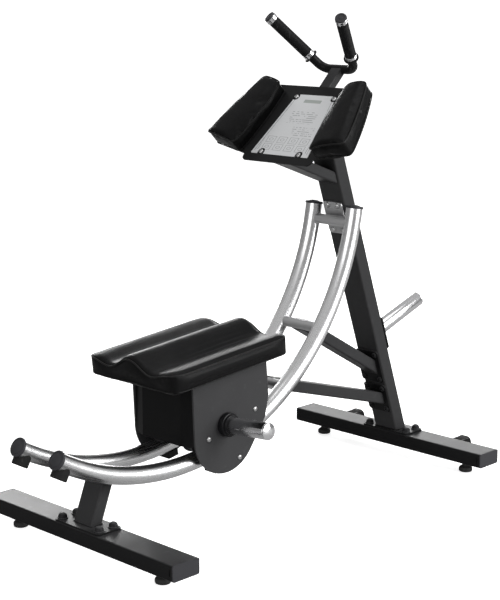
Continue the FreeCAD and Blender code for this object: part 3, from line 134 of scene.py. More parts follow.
class Recipe:
    """Builds the nodes of one material, or of the world."""

    def __init__(self, owner: bpy.types.Material | bpy.types.World, shader: str, target: str) -> None:
        """Start with one shader joined to its output.

        Args:
            owner: The new material or world.
            shader: Type of the shader node.
            target: Type of the output node.
        """
        owner.use_nodes = True
        self.owner = owner
        self.tree = owner.node_tree
        self.tree.nodes.clear()
        self.shader = self.tree.nodes.new(shader)
        self.tree.links.new(self.shader.outputs[0], self.tree.nodes.new(target).inputs[0])
        self.place = self.node("ShaderNodeTexCoord", output="Object")

    @classmethod
    def material(cls, name: str) -> "Recipe":
        """Start a material with a bare Principled shader."""
        return cls(bpy.data.materials.new(name), "ShaderNodeBsdfPrincipled", "ShaderNodeOutputMaterial")

    def node(self, kind: str, settings: dict | None = None, inputs: dict | None = None,
             output: int | str = 0) -> Sock:
        """Add a node.

        Args:
            kind: The node's type.
            settings: Attributes set first; "stops" gives a ramp's (place, colour) pairs.
            inputs: Value or link of each input socket, by name or number.
            output: The output socket to return.

        Returns:
            The chosen output.
        """
        made = self.tree.nodes.new(kind)
        for key, value in (settings or {}).items():
            if key == "stops":
                ramp = made.color_ramp.elements
                while len(ramp) < len(value):
                    ramp.new(1.0)
                for element, (place, colour) in zip(ramp, value):
                    element.position, element.color = place, colour
            else:
                setattr(made, key, value)
        for key, value in (inputs or {}).items():
            if isinstance(value, Sock):
                self.tree.links.new(value.socket, made.inputs[key])
            else:
                made.inputs[key].default_value = value
        return Sock(self, made.outputs[output])

    def vector(self, operation: str, first: Sock, second: Sock | Sequence[float]) -> Sock:
        """Vector Math on two vectors."""
        return self.node("ShaderNodeVectorMath", {"operation": operation}, {0: first, 1: second})

    def joined(self, *values: Sock) -> Sock:
        """Vector from single coordinates."""
        return self.node("ShaderNodeCombineXYZ", {}, dict(enumerate(values)))

    def stretched(self, scale: Sequence[float], place: Sock | None = None, turn: Sequence[float] = (0, 0, 0),
                  move: Sequence[float] = (0, 0, 0)) -> Sock:
        """Coordinates scaled, turned and moved by a Mapping node."""
        inputs = {"Vector": place or self.place, "Scale": scale, "Rotation": turn, "Location": move}
        return self.node("ShaderNodeMapping", {}, inputs)

    def noise(self, scale: float, detail: float = 3.0, place: Sock | None = None) -> Sock:
        """Noise from 0 to 1 at a scale in features per metre."""
        inputs = {"Vector": place or self.place, "Scale": scale, "Detail": detail, "Roughness": 0.55}
        return self.node("ShaderNodeTexNoise", {}, inputs)

    def cells(self, scale: float, place: Sock | None = None, feature: str = "DISTANCE_TO_EDGE") -> Sock:
        """Voronoi cells, as the distance to the nearest edge or centre."""
        inputs = {"Vector": place or self.place, "Scale": scale}
        return self.node("ShaderNodeTexVoronoi", {"feature": feature}, inputs, "Distance")

    def axis(self, name: str, place: Sock | None = None) -> Sock:
        """One coordinate, by its letter."""
        return self.node("ShaderNodeSeparateXYZ", {}, {0: place or self.place}, name)

    def facing_up(self) -> Sock:
        """How far the surface faces upwards."""
        return self.axis("Z", self.node("ShaderNodeNewGeometry", output="Normal"))

    def mix(self, factor: Sock | float, first: Sock | Colour, second: Sock | Colour) -> Sock:
        """Colour between two colours."""
        colours = [value if isinstance(value, Sock) else (*value, 1.0) for value in (first, second)]
        inputs = {0: factor, 6: colours[0], 7: colours[1]}
        return self.node("ShaderNodeMix", {"data_type": "RGBA"}, inputs, 2)

    def bump(self, height: Sock, distance: float, strength: float = 1.0, under: Sock | None = None) -> Sock:
        """Normal from a height; distance is in metres."""
        inputs = {"Height": height, "Distance": distance, "Strength": strength}
        if under is not None:
            inputs["Normal"] = under
        return self.node("ShaderNodeBump", {}, inputs)

    def put(self, **values: Sock | float | tuple) -> None:
        """Feed the shader's sockets; underscores in a name stand for spaces."""
        for key, value in values.items():
            socket = self.shader.inputs[key.replace("_", " ")]
            if isinstance(value, Sock):
                self.tree.links.new(value.socket, socket)
            else:
                socket.default_value = (*value, 1.0) if isinstance(value, tuple) else value


def shade(colour: Colour, factor: float) -> Colour:
    """A colour made lighter or darker."""
    return tuple(min(1.0, channel * factor) for channel in colour)


# ---- finishes ----


@dataclass(frozen=True)
class Finish:
    """A surface's look: its base values, and a recipe that each kind of finish gives."""

    name: str
    slot: str
    tint: Colour
    rough: float

    def dress(self, recipe: Recipe) -> None:
        """Add the nodes of this finish."""
        raise NotImplementedError

    def tones(self, recipe: Recipe, factor: Sock, dark: float, light: float) -> Sock:
        """The tint, between a darker and a lighter tone."""
        return recipe.mix(factor, shade(self.tint, dark), shade(self.tint, light))

    def make(self) -> bpy.types.Material:
        """Find the material, or make it the first time."""
        found = bpy.data.materials.get(self.name)
        if found:
            return found
        recipe = Recipe.material(self.name)
        self.dress(recipe)
        return recipe.owner


@dataclass(frozen=True)
class PowderCoat(Finish):
    """Baked powder paint: orange peel, a few rubbed places, and the faces that look up made paler, partly a
    dusting and partly a painted sheen of the light from above.
    """

    # How much paler the faces that look up go: a dusting with a painted sheen.
    dust: float = 0.35
    peel: float = 0.05

    def dress(self, recipe: Recipe) -> None:
        """Paint with peel and rubbed patches, and a dusting with a painted sheen on the faces that look up."""
        cloud = recipe.noise(5.0, 4.0)
        rubbed = recipe.noise(38.0, 5.0).step(0.60, 0.74)
        specks = recipe.cells(420.0, feature="F1").step(0.10, 0.03)
        upward = recipe.facing_up().step(0.55, 1.0)
        base = self.tones(recipe, cloud, 0.86, 1.16)
        base = recipe.mix(rubbed * 0.30, base, shade(self.tint, 1.7))
        # Faces that look up go paler grey: a dusting, and a painted sheen of the light from above.
        base = recipe.mix(upward * (0.55 + cloud * 0.6) * self.dust, base, (0.20, 0.20, 0.205))
        base = recipe.mix(specks * 0.10, base, (0.30, 0.30, 0.30))
        recipe.put(Base_Color=base, Roughness=self.rough + (cloud - 0.5) * 0.16 - rubbed * 0.08,
                   Specular_IOR_Level=0.07, Normal=recipe.bump(recipe.noise(520.0, 2.0), self.peel * MM))


@dataclass(frozen=True)
class DrawnSteel(Finish):
    """Polished tube with a fine grain along its arc."""

    grain: float = 0.002

    def dress(self, recipe: Recipe) -> None:
        """Metal with lengthwise streaks, faint smudges and small nicks."""
        centre = Machine.arc_centre()
        local = recipe.stretched((1, 1, 1), move=(0, -centre.y, -centre.z))
        x, y, z = (recipe.axis(name, local) for name in "XYZ")
        reach = (y * y + z * z) ** 0.5
        lines = recipe.joined(x * 1400.0, reach * 1400.0, y.apply("ARCTAN2", z) * 5.0)
        streaks = recipe.noise(1.0, 3.0, lines)
        smudge = recipe.noise(9.0, 4.0).step(0.5, 0.8)
        nicks = recipe.noise(160.0, 2.0).step(0.72, 0.80)
        base = recipe.mix(nicks * 0.35, self.tones(recipe, streaks, 0.86, 1.10), shade(self.tint, 0.6))
        recipe.put(Base_Color=base, Metallic=1.0, Normal=recipe.bump(streaks, self.grain * MM),
                   Roughness=self.rough + (streaks - 0.5) * 0.12 + smudge * 0.08)


@dataclass(frozen=True)
class Plated(Finish):
    """Chrome or zinc plate with smudges and hairline turning marks."""

    hairlines: float = 0.002

    def dress(self, recipe: Recipe) -> None:
        """Metal with clouded roughness and fine marks."""
        smudge = recipe.noise(26.0, 5.0)
        marks = recipe.noise(900.0, 2.0, recipe.stretched((1.0, 0.12, 1.0)))
        spots = recipe.cells(230.0, feature="F1").step(0.12, 0.05)
        base = recipe.mix(spots * 0.25, self.tones(recipe, smudge, 0.90, 1.06), shade(self.tint, 0.55))
        recipe.put(Base_Color=base, Metallic=1.0,
                   Roughness=self.rough + smudge.step(0.42, 0.75) * 0.12 + marks * 0.04,
                   Normal=recipe.bump(marks, self.hairlines * MM))


@dataclass(frozen=True)
class Moulded(Finish):
    """Moulded plastic or rubber with a spark-eroded texture."""

    grit: float = 0.04
    grit_scale: float = 900.0
    bloom: float = 0.25

    def dress(self, recipe: Recipe) -> None:
        """Plastic with a fine grain and a pale bloom where it is handled."""
        cloud = recipe.noise(14.0, 4.0)
        grain = recipe.noise(self.grit_scale, 2.0)
        scuff = recipe.noise(70.0, 6.0, recipe.stretched((1, 1, 0.3))).step(0.58, 0.72)
        base = recipe.mix(scuff * self.bloom, self.tones(recipe, cloud, 0.8, 1.3), (0.11, 0.11, 0.11))
        recipe.put(Base_Color=base, Roughness=self.rough + (cloud - 0.5) * 0.18 + scuff * 0.08,
                   Specular_IOR_Level=0.14, Normal=recipe.bump(grain, self.grit * MM))


@dataclass(frozen=True)
class Vinyl(Finish):
    """Upholstery vinyl: pebbled grain, soft stretch creases, and a painted sheen on top, stronger where it is
    rubbed.
    """

    grain: float = 0.09

    def dress(self, recipe: Recipe) -> None:
        """Vinyl with its grain, creases, wear and a painted sheen on the faces that look up."""
        swirl = recipe.node("ShaderNodeTexNoise", {}, {"Vector": recipe.place, "Scale": 260.0}, "Color")
        shift = recipe.vector("MULTIPLY", swirl, (0.0012, 0.0012, 0.0012))
        warped = recipe.vector("ADD", recipe.place, shift)
        pebbles = recipe.cells(620.0, warped).step(0.0, 0.22)
        folds = recipe.noise(34.0, 4.0, recipe.stretched((1.0, 0.35, 1.0)))
        rubbed = recipe.noise(7.0, 4.0).step(0.42, 0.70)
        upward = recipe.facing_up().step(0.2, 0.95)
        base = self.tones(recipe, pebbles, 0.7, 1.15)
        # Faces that look up are lightened, most in the rubbed patches: a painted sheen.
        base = recipe.mix((0.25 + rubbed * 0.5) * upward * 0.6, base, shade(self.tint, 4.5))
        pores = recipe.bump(pebbles, self.grain * MM, 0.6)
        recipe.put(Base_Color=base, Specular_IOR_Level=0.10,
                   Roughness=self.rough + (1 - pebbles) * 0.10 + (folds - 0.5) * 0.16 - rubbed * 0.05,
                   Normal=recipe.bump(folds.step(0.35, 0.75), 0.5 * MM, 0.35, pores))


@dataclass(frozen=True)
class InstructionPlate(Finish):
    """Satin sheet printed with a generic frame, rules and blank pictogram boxes."""

    ink: Colour = (0.14, 0.145, 0.15)
    bar: Colour = (0.34, 0.38, 0.35)
    row: float = 7.5 * MM

    def dress(self, recipe: Recipe) -> None:
        """Print pale rules and boxes on brushed sheet."""
        from_zero = recipe.vector("SUBTRACT", recipe.place, Machine.TRAY_ZERO)
        flat = recipe.stretched((1, 1, 1), from_zero, turn=(-Machine.TRAY_TILT, 0, 0))
        x, along = recipe.axis("X", flat), recipe.axis("Y", flat)

        def patch(middle: float, half: float, height: float, rise: float, soft: float = 1.0) -> Sock:
            """Rectangle across and along the plate, by its middle and half sizes in millimetres."""
            return x.near(middle * MM, half * MM, soft * MM) * along.near(height * MM, rise * MM, soft * MM)

        edge = 116 * MM - (along + 8 * MM) * (37.0 / 237.0) - x.apply("ABSOLUTE")
        border = edge.near(8 * MM, 0.5 * MM, 0.3 * MM) * along.near(110 * MM, 108 * MM, 1 * MM)
        rows = along * (1 / self.row)
        rules = rows.apply("FRACT").near(0.5, 0.10, 0.06)
        ragged = recipe.noise(1.0, 1.0, recipe.joined(x * 90.0, rows.apply("FLOOR") * 7.3))
        lines = rules * patch(0, 52, 142, 25) * ragged.step(0.44, 0.50)
        lines = lines.apply("MAXIMUM", rules * patch(34, 44, 88, 18) * ragged.step(0.47, 0.52))
        cell_x = ((x + 90 * MM) * (1 / (45 * MM))).apply("FRACT") - 0.5
        cell_y = ((along - 6 * MM) * (1 / (29 * MM))).apply("FRACT") - 0.5
        ring = cell_x.apply("ABSOLUTE").apply("MAXIMUM", cell_y.apply("ABSOLUTE") * 0.92)
        within = along.near(35 * MM, 28 * MM, 0.5 * MM) * edge.step(10 * MM, 12 * MM)
        boxes = ring.near(0.36, 0.012, 0.01) * within
        dots = ((cell_x * cell_x + cell_y * cell_y) ** 0.5).near(0.16, 0.02, 0.02) * within
        brushed = recipe.noise(1.0, 3.0, recipe.stretched((40, 1500, 1500), flat))
        ink = border.apply("MAXIMUM", lines * 0.75).apply("MAXIMUM", boxes * 0.8).apply("MAXIMUM", dots * 0.5)
        base = recipe.mix(ink * 0.92, self.tones(recipe, brushed, 0.94, 1.05), self.ink)
        base = recipe.mix(patch(0, 34, 204, 6, 0.6) * 0.8, base, self.bar)
        recipe.put(Base_Color=base, Metallic=0.35, Roughness=self.rough + brushed * 0.10,
                   Normal=recipe.bump(brushed, 0.01 * MM))


class Finishes:
    """Every finish of the machine."""

    FRAME = PowderCoat("frame_powder_coat", "frame_paint", (0.0095, 0.0095, 0.0099), 0.36, dust=0.16)
    # A lighter copy of the frame paint (same slot) for the mast, braces, rear post, tray spine and arm: painted
    # light where those faces catch the lamps.
    MAST = PowderCoat("mast_powder_coat", "frame_paint", (0.034, 0.034, 0.035), 0.36, dust=0.12)
    CARRIAGE = PowderCoat("carriage_powder_coat", "carriage_paint", (0.046, 0.046, 0.0475), 0.34, dust=0.15)
    # A much darker copy of the carriage paint (same slot) for the rear cover, which faces back into the shade
    # under the pad: painted shade.
    COVER = PowderCoat("cover_powder_coat", "carriage_paint", (0.0055, 0.0055, 0.0058), 0.40, dust=0.1)
    DULL = Plated("dull_zinc", "rail_steel", (0.56, 0.56, 0.565), 0.40, hairlines=0.005)
    RAILS = DrawnSteel("polished_rail", "rail_steel", (0.74, 0.74, 0.745), 0.27)
    CHROME = Plated("chrome_sleeve", "chrome", (0.70, 0.70, 0.71), 0.15)
    ZINC = Plated("zinc_bolt", "zinc_bolts", (0.58, 0.58, 0.58), 0.26)
    BLACK_BOLT = PowderCoat("black_bolt", "black_bolts", (0.018, 0.018, 0.019), 0.30, dust=0.35, peel=0.02)
    PLASTIC = Moulded("black_plastic", "black_plastic", (0.0065, 0.0065, 0.007), 0.36)
    COLLAR = Moulded("peg_collar_plastic", "black_plastic", (0.010, 0.010, 0.011), 0.30, bloom=0.12)
    RUBBER = Moulded("black_rubber", "rubber", (0.012, 0.012, 0.012), 0.66, grit=0.06, grit_scale=600.0)
    GRIP = Moulded("grip_rubber", "rubber", (0.0045, 0.0045, 0.005), 0.50, grit=0.05, grit_scale=700.0,
                   bloom=0.15)
    FOOT = Moulded("foot_plastic", "foot_plastic", (0.011, 0.011, 0.012), 0.42)
    WHEEL = Moulded("wheel_plastic", "wheel_plastic", (0.014, 0.014, 0.014), 0.5, bloom=0.4)
    ROLLER = Moulded("roller_urethane", "roller_plastic", (0.020, 0.020, 0.022), 0.34)
    BRONZE = Plated("bush_bronze", "bush_bronze", (0.50, 0.33, 0.15), 0.30)
    VINYL = Vinyl("black_vinyl", "vinyl", (0.0034, 0.0034, 0.0036), 0.35)
    # A paler copy of the pad vinyl (same slot), so the piping reads as a light line along the edges: a painted
    # highlight.
    PIPING = Vinyl("piping_vinyl", "vinyl", (0.012, 0.012, 0.012), 0.32, grain=0.04)
    PLATE = InstructionPlate("printed_plate", "placard_plate", (0.76, 0.77, 0.78), 0.36)


# ---- the machine's lines ----


class Machine:
    """Lines and angles that the sub-assemblies share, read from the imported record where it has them."""

    MAST_LEAN = math.radians(19.4)
    TRAY_TILT = math.radians(45.0)
    KNEE_PITCH = math.radians(5.3)
    ARC_RADIUS = 0.7741
    RAIL_RADIUS = 0.0255
    MAST_UP = Vector((0, -math.sin(MAST_LEAN), math.cos(MAST_LEAN)))
    MAST_FRONT = Vector((0, math.cos(MAST_LEAN), math.sin(MAST_LEAN)))
    MAST_FOOT = Vector((0, 0.67590, 0.0880))
    TRAY_NORMAL = Vector((0, -math.sin(TRAY_TILT), math.cos(TRAY_TILT)))
    TRAY_ZERO = Vector((0, 0.13109, 1.04449))

    @staticmethod
    def joint(name: str) -> Vector:
        """Place of a joint."""
        return Vector(next(j for j in frame["joints"] if j["name"] == name)["pos_m"])

    @staticmethod
    def mount(name: str) -> dict:
        """A mount of the record."""
        return next(m for m in frame["record"]["mounts"] if m["name"] == name)

    @classmethod
    def arc_centre(cls) -> Vector:
        """Centre of the rails' arc."""
        return cls.joint("carriage_roll")

    @classmethod
    def on_arc(cls, x: float, angle: float, radius: float) -> Vector:
        """Point at an angle in degrees from straight down round the rails' centre."""
        turn = math.radians(angle)
        return cls.arc_centre() + Vector((x, radius * math.sin(turn), -radius * math.cos(turn)))

    @staticmethod
    def forward(angle: float) -> Vector:
        """Direction along the arc, towards the mast."""
        turn = math.radians(angle)
        return Vector((0, math.cos(turn), math.sin(turn)))

    @classmethod
    def on_mast(cls, station: float, out: float = 0.0, x: float = 0.0) -> Vector:
        """Point along the mast's centre line, moved forward by out and across by x."""
        return cls.MAST_FOOT + cls.MAST_UP * station + cls.MAST_FRONT * out + ACROSS * x

    @classmethod
    def tray_frame(cls) -> Matrix:
        """Matrix from tray coordinates (x, along, height) to the row frame."""
        return Matrix.Translation(cls.TRAY_ZERO) @ Matrix.Rotation(cls.TRAY_TILT, 4, "X")

    @classmethod
    def on_tray(cls, x: float, along: float, height: float) -> Vector:
        """Point on the tray; its zero is between the lower bolts, on the upper face."""
        return cls.tray_frame() @ Vector((x, along, height))


def stand(base: Vector, axis: Vector) -> Matrix:
    """Matrix that stands +Z on an axis with its foot at base."""
    return Matrix.Translation(base) @ axis.to_track_quat("Z", "Y").to_matrix().to_4x4()


# ---- the bench: turning, sweeping and finishing of meshes ----


class Bench:
    """Makes pieces and dresses the CAD nodes."""

    @staticmethod
    def placed(name: str, data: bpy.types.ID) -> bpy.types.Object:
        """Put new data in the scene as an object."""
        made = bpy.data.objects.new(name, data)
        bpy.context.scene.collection.objects.link(made)
        return made

    @staticmethod
    def meshed(name: str, form: Form) -> bpy.types.Mesh:
        """Mesh from a bmesh, which is freed."""
        mesh = bpy.data.meshes.new(name)
        form.to_mesh(mesh)
        form.free()
        return mesh

    @staticmethod
    def piece(name: str, form: Form, finish: Finish, body: str, nodes: Iterable[str] = (),
              crease: float = 34.0) -> None:
        """Turn a finished bmesh into a piece that rides on a body.

        Args:
            name: The piece's name.
            form: The mesh, in the row frame; it is freed.
            finish: The piece's finish.
            body: CAD body that the piece rides on.
            nodes: CAD nodes that the piece stands for.
            crease: Angle in degrees past which an edge is shaded sharp.
        """
        bmesh.ops.recalc_face_normals(form, faces=form.faces[:])
        mesh = Bench.meshed(name, form)
        mesh.shade_smooth()
        mesh.set_sharp_from_angle(angle=math.radians(crease))
        mesh.materials.append(finish.make())
        made = Bench.placed(name, mesh)
        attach(made, body)
        if nodes:
            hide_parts(*nodes)
        LOG.info("%s: %d faces on %s", name, len(mesh.polygons), body)

    @staticmethod
    def dress(finish: Finish, *names: str) -> None:
        """Give CAD nodes a finish."""
        for name in names:
            materials = frame["nodes"][name].data.materials
            materials.clear()
            materials.append(finish.make())
            LOG.info("%s: %s", name, finish.name)

    @staticmethod
    def lathe(profile: Profile, sides: int) -> Form:
        """Turn (radius, distance) pairs, in metres, round Z; a profile clear of the axis is closed."""
        form = bmesh.new()
        points = [form.verts.new((radius, 0, along)) for radius, along in profile]
        edges = [form.edges.new(pair) for pair in zip(points, points[1:])]
        if min(profile[0][0], profile[-1][0]) > 0:
            edges.append(form.edges.new((points[-1], points[0])))
        bmesh.ops.spin(form, geom=points + edges, cent=ORIGIN, axis=UP, dvec=ORIGIN, angle=FULL_TURN,
                       steps=sides, use_merge=True)
        bmesh.ops.remove_doubles(form, verts=form.verts[:], dist=SAME_PLACE)
        bmesh.ops.recalc_face_normals(form, faces=form.faces[:])
        return form

    @staticmethod
    def turned(profile: Profile, base: Vector, axis: Vector, sides: int = 64, soft: float = 0.0) -> Form:
        """Turn a profile on a lathe and stand it on an axis.

        Args:
            profile: (radius, distance along the axis) pairs, in millimetres, from one end to the other.
            base: Where distance 0 lies.
            axis: Direction of the axis.
            sides: Steps of the full turn.
            soft: Width of the bevel on sharp edges, in metres; 0 leaves them.

        Returns:
            The closed mesh.
        """
        form = Bench.lathe([(radius * MM, along * MM) for radius, along in profile], sides)
        if soft:
            Bench.soften(form, soft)
        form.transform(stand(base, axis))
        return form

    @staticmethod
    def soften(form: Form, width: float) -> None:
        """Bevel every edge that turns by more than 30 degrees."""
        limit = math.radians(30.0)
        sharp = [e for e in form.edges if e.is_manifold and e.calc_face_angle(0.0) > limit]
        if sharp:
            bmesh.ops.bevel(form, geom=sharp, offset=width, offset_type="OFFSET", affect="EDGES", segments=2,
                            profile=0.5, material=-1, clamp_overlap=True)

    @staticmethod
    def joined(forms: Iterable[Form]) -> Form:
        """One bmesh from several, which are freed."""
        whole = bmesh.new()
        for form in forms:
            store = Bench.meshed("part", form)
            whole.from_mesh(store)
            bpy.data.meshes.remove(store)
        return whole

    @staticmethod
    def ring_bead(points: Sequence[Vector], radius: float) -> Form:
        """Round bead of a radius along a smooth closed line through points."""
        line = bpy.data.curves.new("bead", "CURVE")
        line.dimensions = "3D"
        line.bevel_depth, line.bevel_resolution, line.resolution_u = radius, 3, 4
        spline = line.splines.new("NURBS")
        spline.points.add(len(points) - 1)
        for point, place in zip(spline.points, points):
            point.co = (*place, 1.0)
        spline.use_cyclic_u = True
        spline.order_u = 3
        holder = bpy.data.objects.new("bead", line)
        mesh = bpy.data.meshes.new_from_object(holder)
        form = bmesh.new()
        form.from_mesh(mesh)
        bpy.data.objects.remove(holder)
        bpy.data.curves.remove(line)
        bpy.data.meshes.remove(mesh)
        bmesh.ops.remove_doubles(form, verts=form.verts[:], dist=SAME_PLACE)
        return form


class TubeRun:
    """Round tube that grows from its open end: straight ahead, or round a centre."""

    def __init__(self, radius: float, start: Vector, heading: Vector, sides: int) -> None:
        """Open the tube with a ring.

        Args:
            radius: Radius of the tube.
            start: Centre of the first ring.
            heading: Direction that the ring faces.
            sides: Number of sides.
        """
        self.form = bmesh.new()
        ring = bmesh.ops.create_circle(self.form, segments=sides, radius=radius, matrix=stand(start, heading))
        self.edges = list({e for v in ring["verts"] for e in v.link_edges})

    def ahead(self, move: Vector, steps: int = 1) -> "TubeRun":
        """Grow straight by a move."""
        return self._spin(ORIGIN, UP, 0.0, steps, move / steps)

    def round(self, centre: Vector, axis: Vector, angle: float, steps: int) -> "TubeRun":
        """Grow round a centre by an angle in degrees."""
        return self._spin(centre, axis, math.radians(angle), steps, ORIGIN)

    def _spin(self, centre: Vector, axis: Vector, angle: float, steps: int, move: Vector) -> "TubeRun":
        """Sweep the open ring."""
        swept = bmesh.ops.spin(self.form, geom=self.edges, cent=centre, axis=axis, dvec=move, angle=angle,
                               steps=steps, use_merge=False)
        self.edges = [g for g in swept["geom_last"] if isinstance(g, bmesh.types.BMEdge)]
        return self

    def closed(self) -> Form:
        """Fill both ends and return the mesh."""
        bmesh.ops.remove_doubles(self.form, verts=self.form.verts[:], dist=SAME_PLACE)
        bmesh.ops.holes_fill(self.form, edges=[e for e in self.form.edges if e.is_boundary], sides=0)
        return self.form


# ---- fasteners ----


@dataclass(frozen=True)
class ButtonBolt:
    """Button-head bolt with a hexagon socket, its shank and, where it shows, its nut."""

    radius: float
    height: float
    socket: float
    shank: float
    reach: float
    nut: float = 0.0

    SIDES = 24
    CORNERS = 6

    def form(self, seat: Vector, axis: Vector) -> Form:
        """Build one bolt on its seat.

        Args:
            seat: Where the head meets the plate.
            axis: Direction out of the plate.

        Returns:
            The bolt's mesh.
        """
        r, h = self.radius, self.height
        dome = [(self.socket * 1.25, h), (r * 0.62, h * 0.94), (r * 0.84, h * 0.74), (r * 0.97, h * 0.42),
                (r, h * 0.15), (r, 0.0)]
        shank = [(self.shank, 0.0), (self.shank, -self.reach), (0.0, -self.reach)]
        form = Bench.lathe(dome + shank, self.SIDES)
        self.hexagon(form)
        if self.nut:
            nut, middle = bmesh.new(), Matrix.Translation((0, 0, self.nut * 0.75 - self.reach))
            bmesh.ops.create_cone(nut, cap_ends=True, segments=self.CORNERS, radius1=self.nut,
                                  radius2=self.nut, depth=self.nut, matrix=middle)
            Bench.soften(nut, 0.0005)
            form = Bench.joined((form, nut))
        form.transform(stand(seat, axis))
        return form

    def hexagon(self, form: Form) -> None:
        """Draw the head's open rim in to a hexagon, sink it and close its floor."""
        sector = FULL_TURN / self.CORNERS
        rim = [e for e in form.edges if e.is_boundary]
        for drawn_in, depth in ((True, 0.0), (False, 0.55 * self.height)):
            grown = bmesh.ops.extrude_edge_only(form, edges=rim)["geom"]
            rim = [g for g in grown if isinstance(g, bmesh.types.BMEdge)]
            for vert in (g for g in grown if isinstance(g, bmesh.types.BMVert)):
                if drawn_in:
                    turn = math.atan2(vert.co.y, vert.co.x)
                    flat = self.socket / math.cos((turn % sector) - sector / 2)
                    vert.co.x, vert.co.y = flat * math.cos(turn), flat * math.sin(turn)
                vert.co.z -= depth
        bmesh.ops.contextual_create(form, geom=[e for e in form.edges if e.is_boundary])


# ---- studio ----


@dataclass
class Studio:
    """Pale floor, soft lights and the camera."""

    camera_place: tuple[float, float, float] = (3.074, -3.1216, 1.520)
    heading: tuple[float, float] = (-0.7011, 0.7130)
    pitch: float = math.radians(-11.62)
    lens: float = 90.46
    floor_half: float = 1500.0
    aim_height: float = 0.6
    # name, place, width, height, watts
    softboxes: tuple[tuple, ...] = (("top", (0.5, 0.6, 4.0), 1.6, 2.2, 20.0),
                                    ("front", (1.4, -5.2, 1.9), 4.2, 2.8, 90.0),
                                    ("right", (4.6, 2.0, 2.2), 3.2, 3.6, 290.0),
                                    ("left_back", (-4.7, 2.3, 1.9), 1.5, 1.4, 82.0),
                                    ("back", (-3.3, 4.5, 1.75), 3.6, 1.5, 100.0))
    # rise of a direction, and how bright the surroundings are there
    sky: tuple[tuple[float, float], ...] = ((0.0, 0.30), (0.10, 0.26), (0.34, 0.34), (0.62, 0.55))

    def build(self) -> None:
        """Set up everything around the machine."""
        self.camera()
        self.floor()
        self.world()
        for softbox in self.softboxes:
            self.light(*softbox)

    def camera(self) -> None:
        """Aim the camera."""
        data = bpy.data.cameras.new("camera")
        data.lens, data.sensor_width, data.sensor_fit = self.lens, 36.0, "AUTO"
        data.clip_end = 4000.0
        aim = Vector((*self.heading, 0)).normalized() * math.cos(self.pitch) + UP * math.sin(self.pitch)
        bpy.context.scene.camera = self.aimed("camera", data, self.camera_place, aim)

    @staticmethod
    def aimed(name: str, data: bpy.types.ID, place: Sequence[float], aim: Vector) -> bpy.types.Object:
        """Object that looks along a direction from a place."""
        made = Bench.placed(name, data)
        made.location = place
        made.rotation_mode = "QUATERNION"
        made.rotation_quaternion = aim.to_track_quat("-Z", "Y")
        return made

    def floor(self) -> None:
        """Lay a wide matt floor, which the camera sees as white paper."""
        form = bmesh.new()
        bmesh.ops.create_grid(form, x_segments=2, y_segments=2, size=self.floor_half)
        laid = Bench.placed("floor", Bench.meshed("floor", form))
        recipe = Recipe.material("floor_paper")
        seen = recipe.node("ShaderNodeLightPath", output="Is Camera Ray")
        recipe.put(Base_Color=recipe.mix(seen, (0.42, 0.42, 0.42), (0.95, 0.95, 0.95)), Roughness=0.9,
                   Specular_IOR_Level=0.1, Emission_Color=recipe.mix(seen, (0, 0, 0), (1, 1, 1)),
                   Emission_Strength=0.75)
        laid.data.materials.append(recipe.owner)

    def world(self) -> None:
        """Light from all round, behind a white backdrop, with a darker band for the metal to reflect."""
        surroundings = bpy.data.worlds.new("studio")
        bpy.context.scene.world = surroundings
        recipe = Recipe(surroundings, "ShaderNodeBackground", "ShaderNodeOutputWorld")
        rise = recipe.axis("Z", recipe.node("ShaderNodeTexCoord", output="Generated"))
        stops = [(place, (level, level, level, 1)) for place, level in self.sky]
        seen = recipe.node("ShaderNodeLightPath", output="Is Camera Ray")
        light = recipe.node("ShaderNodeValToRGB", {"stops": stops}, {0: rise})
        recipe.put(Color=recipe.mix(seen, light, (1, 1, 1)))
        bpy.context.scene.view_settings.view_transform = "Standard"

    def light(self, name: str, place: Sequence[float], width: float, height: float, watts: float) -> None:
        """Hang a soft rectangular light aimed at the machine's middle."""
        data = bpy.data.lights.new(name, "AREA")
        data.shape, data.size, data.size_y, data.energy = "RECTANGLE", width, height, watts
        self.aimed(name, data, place, UP * self.aim_height - Vector(place)).visible_camera = False


# ---- floor frame ----


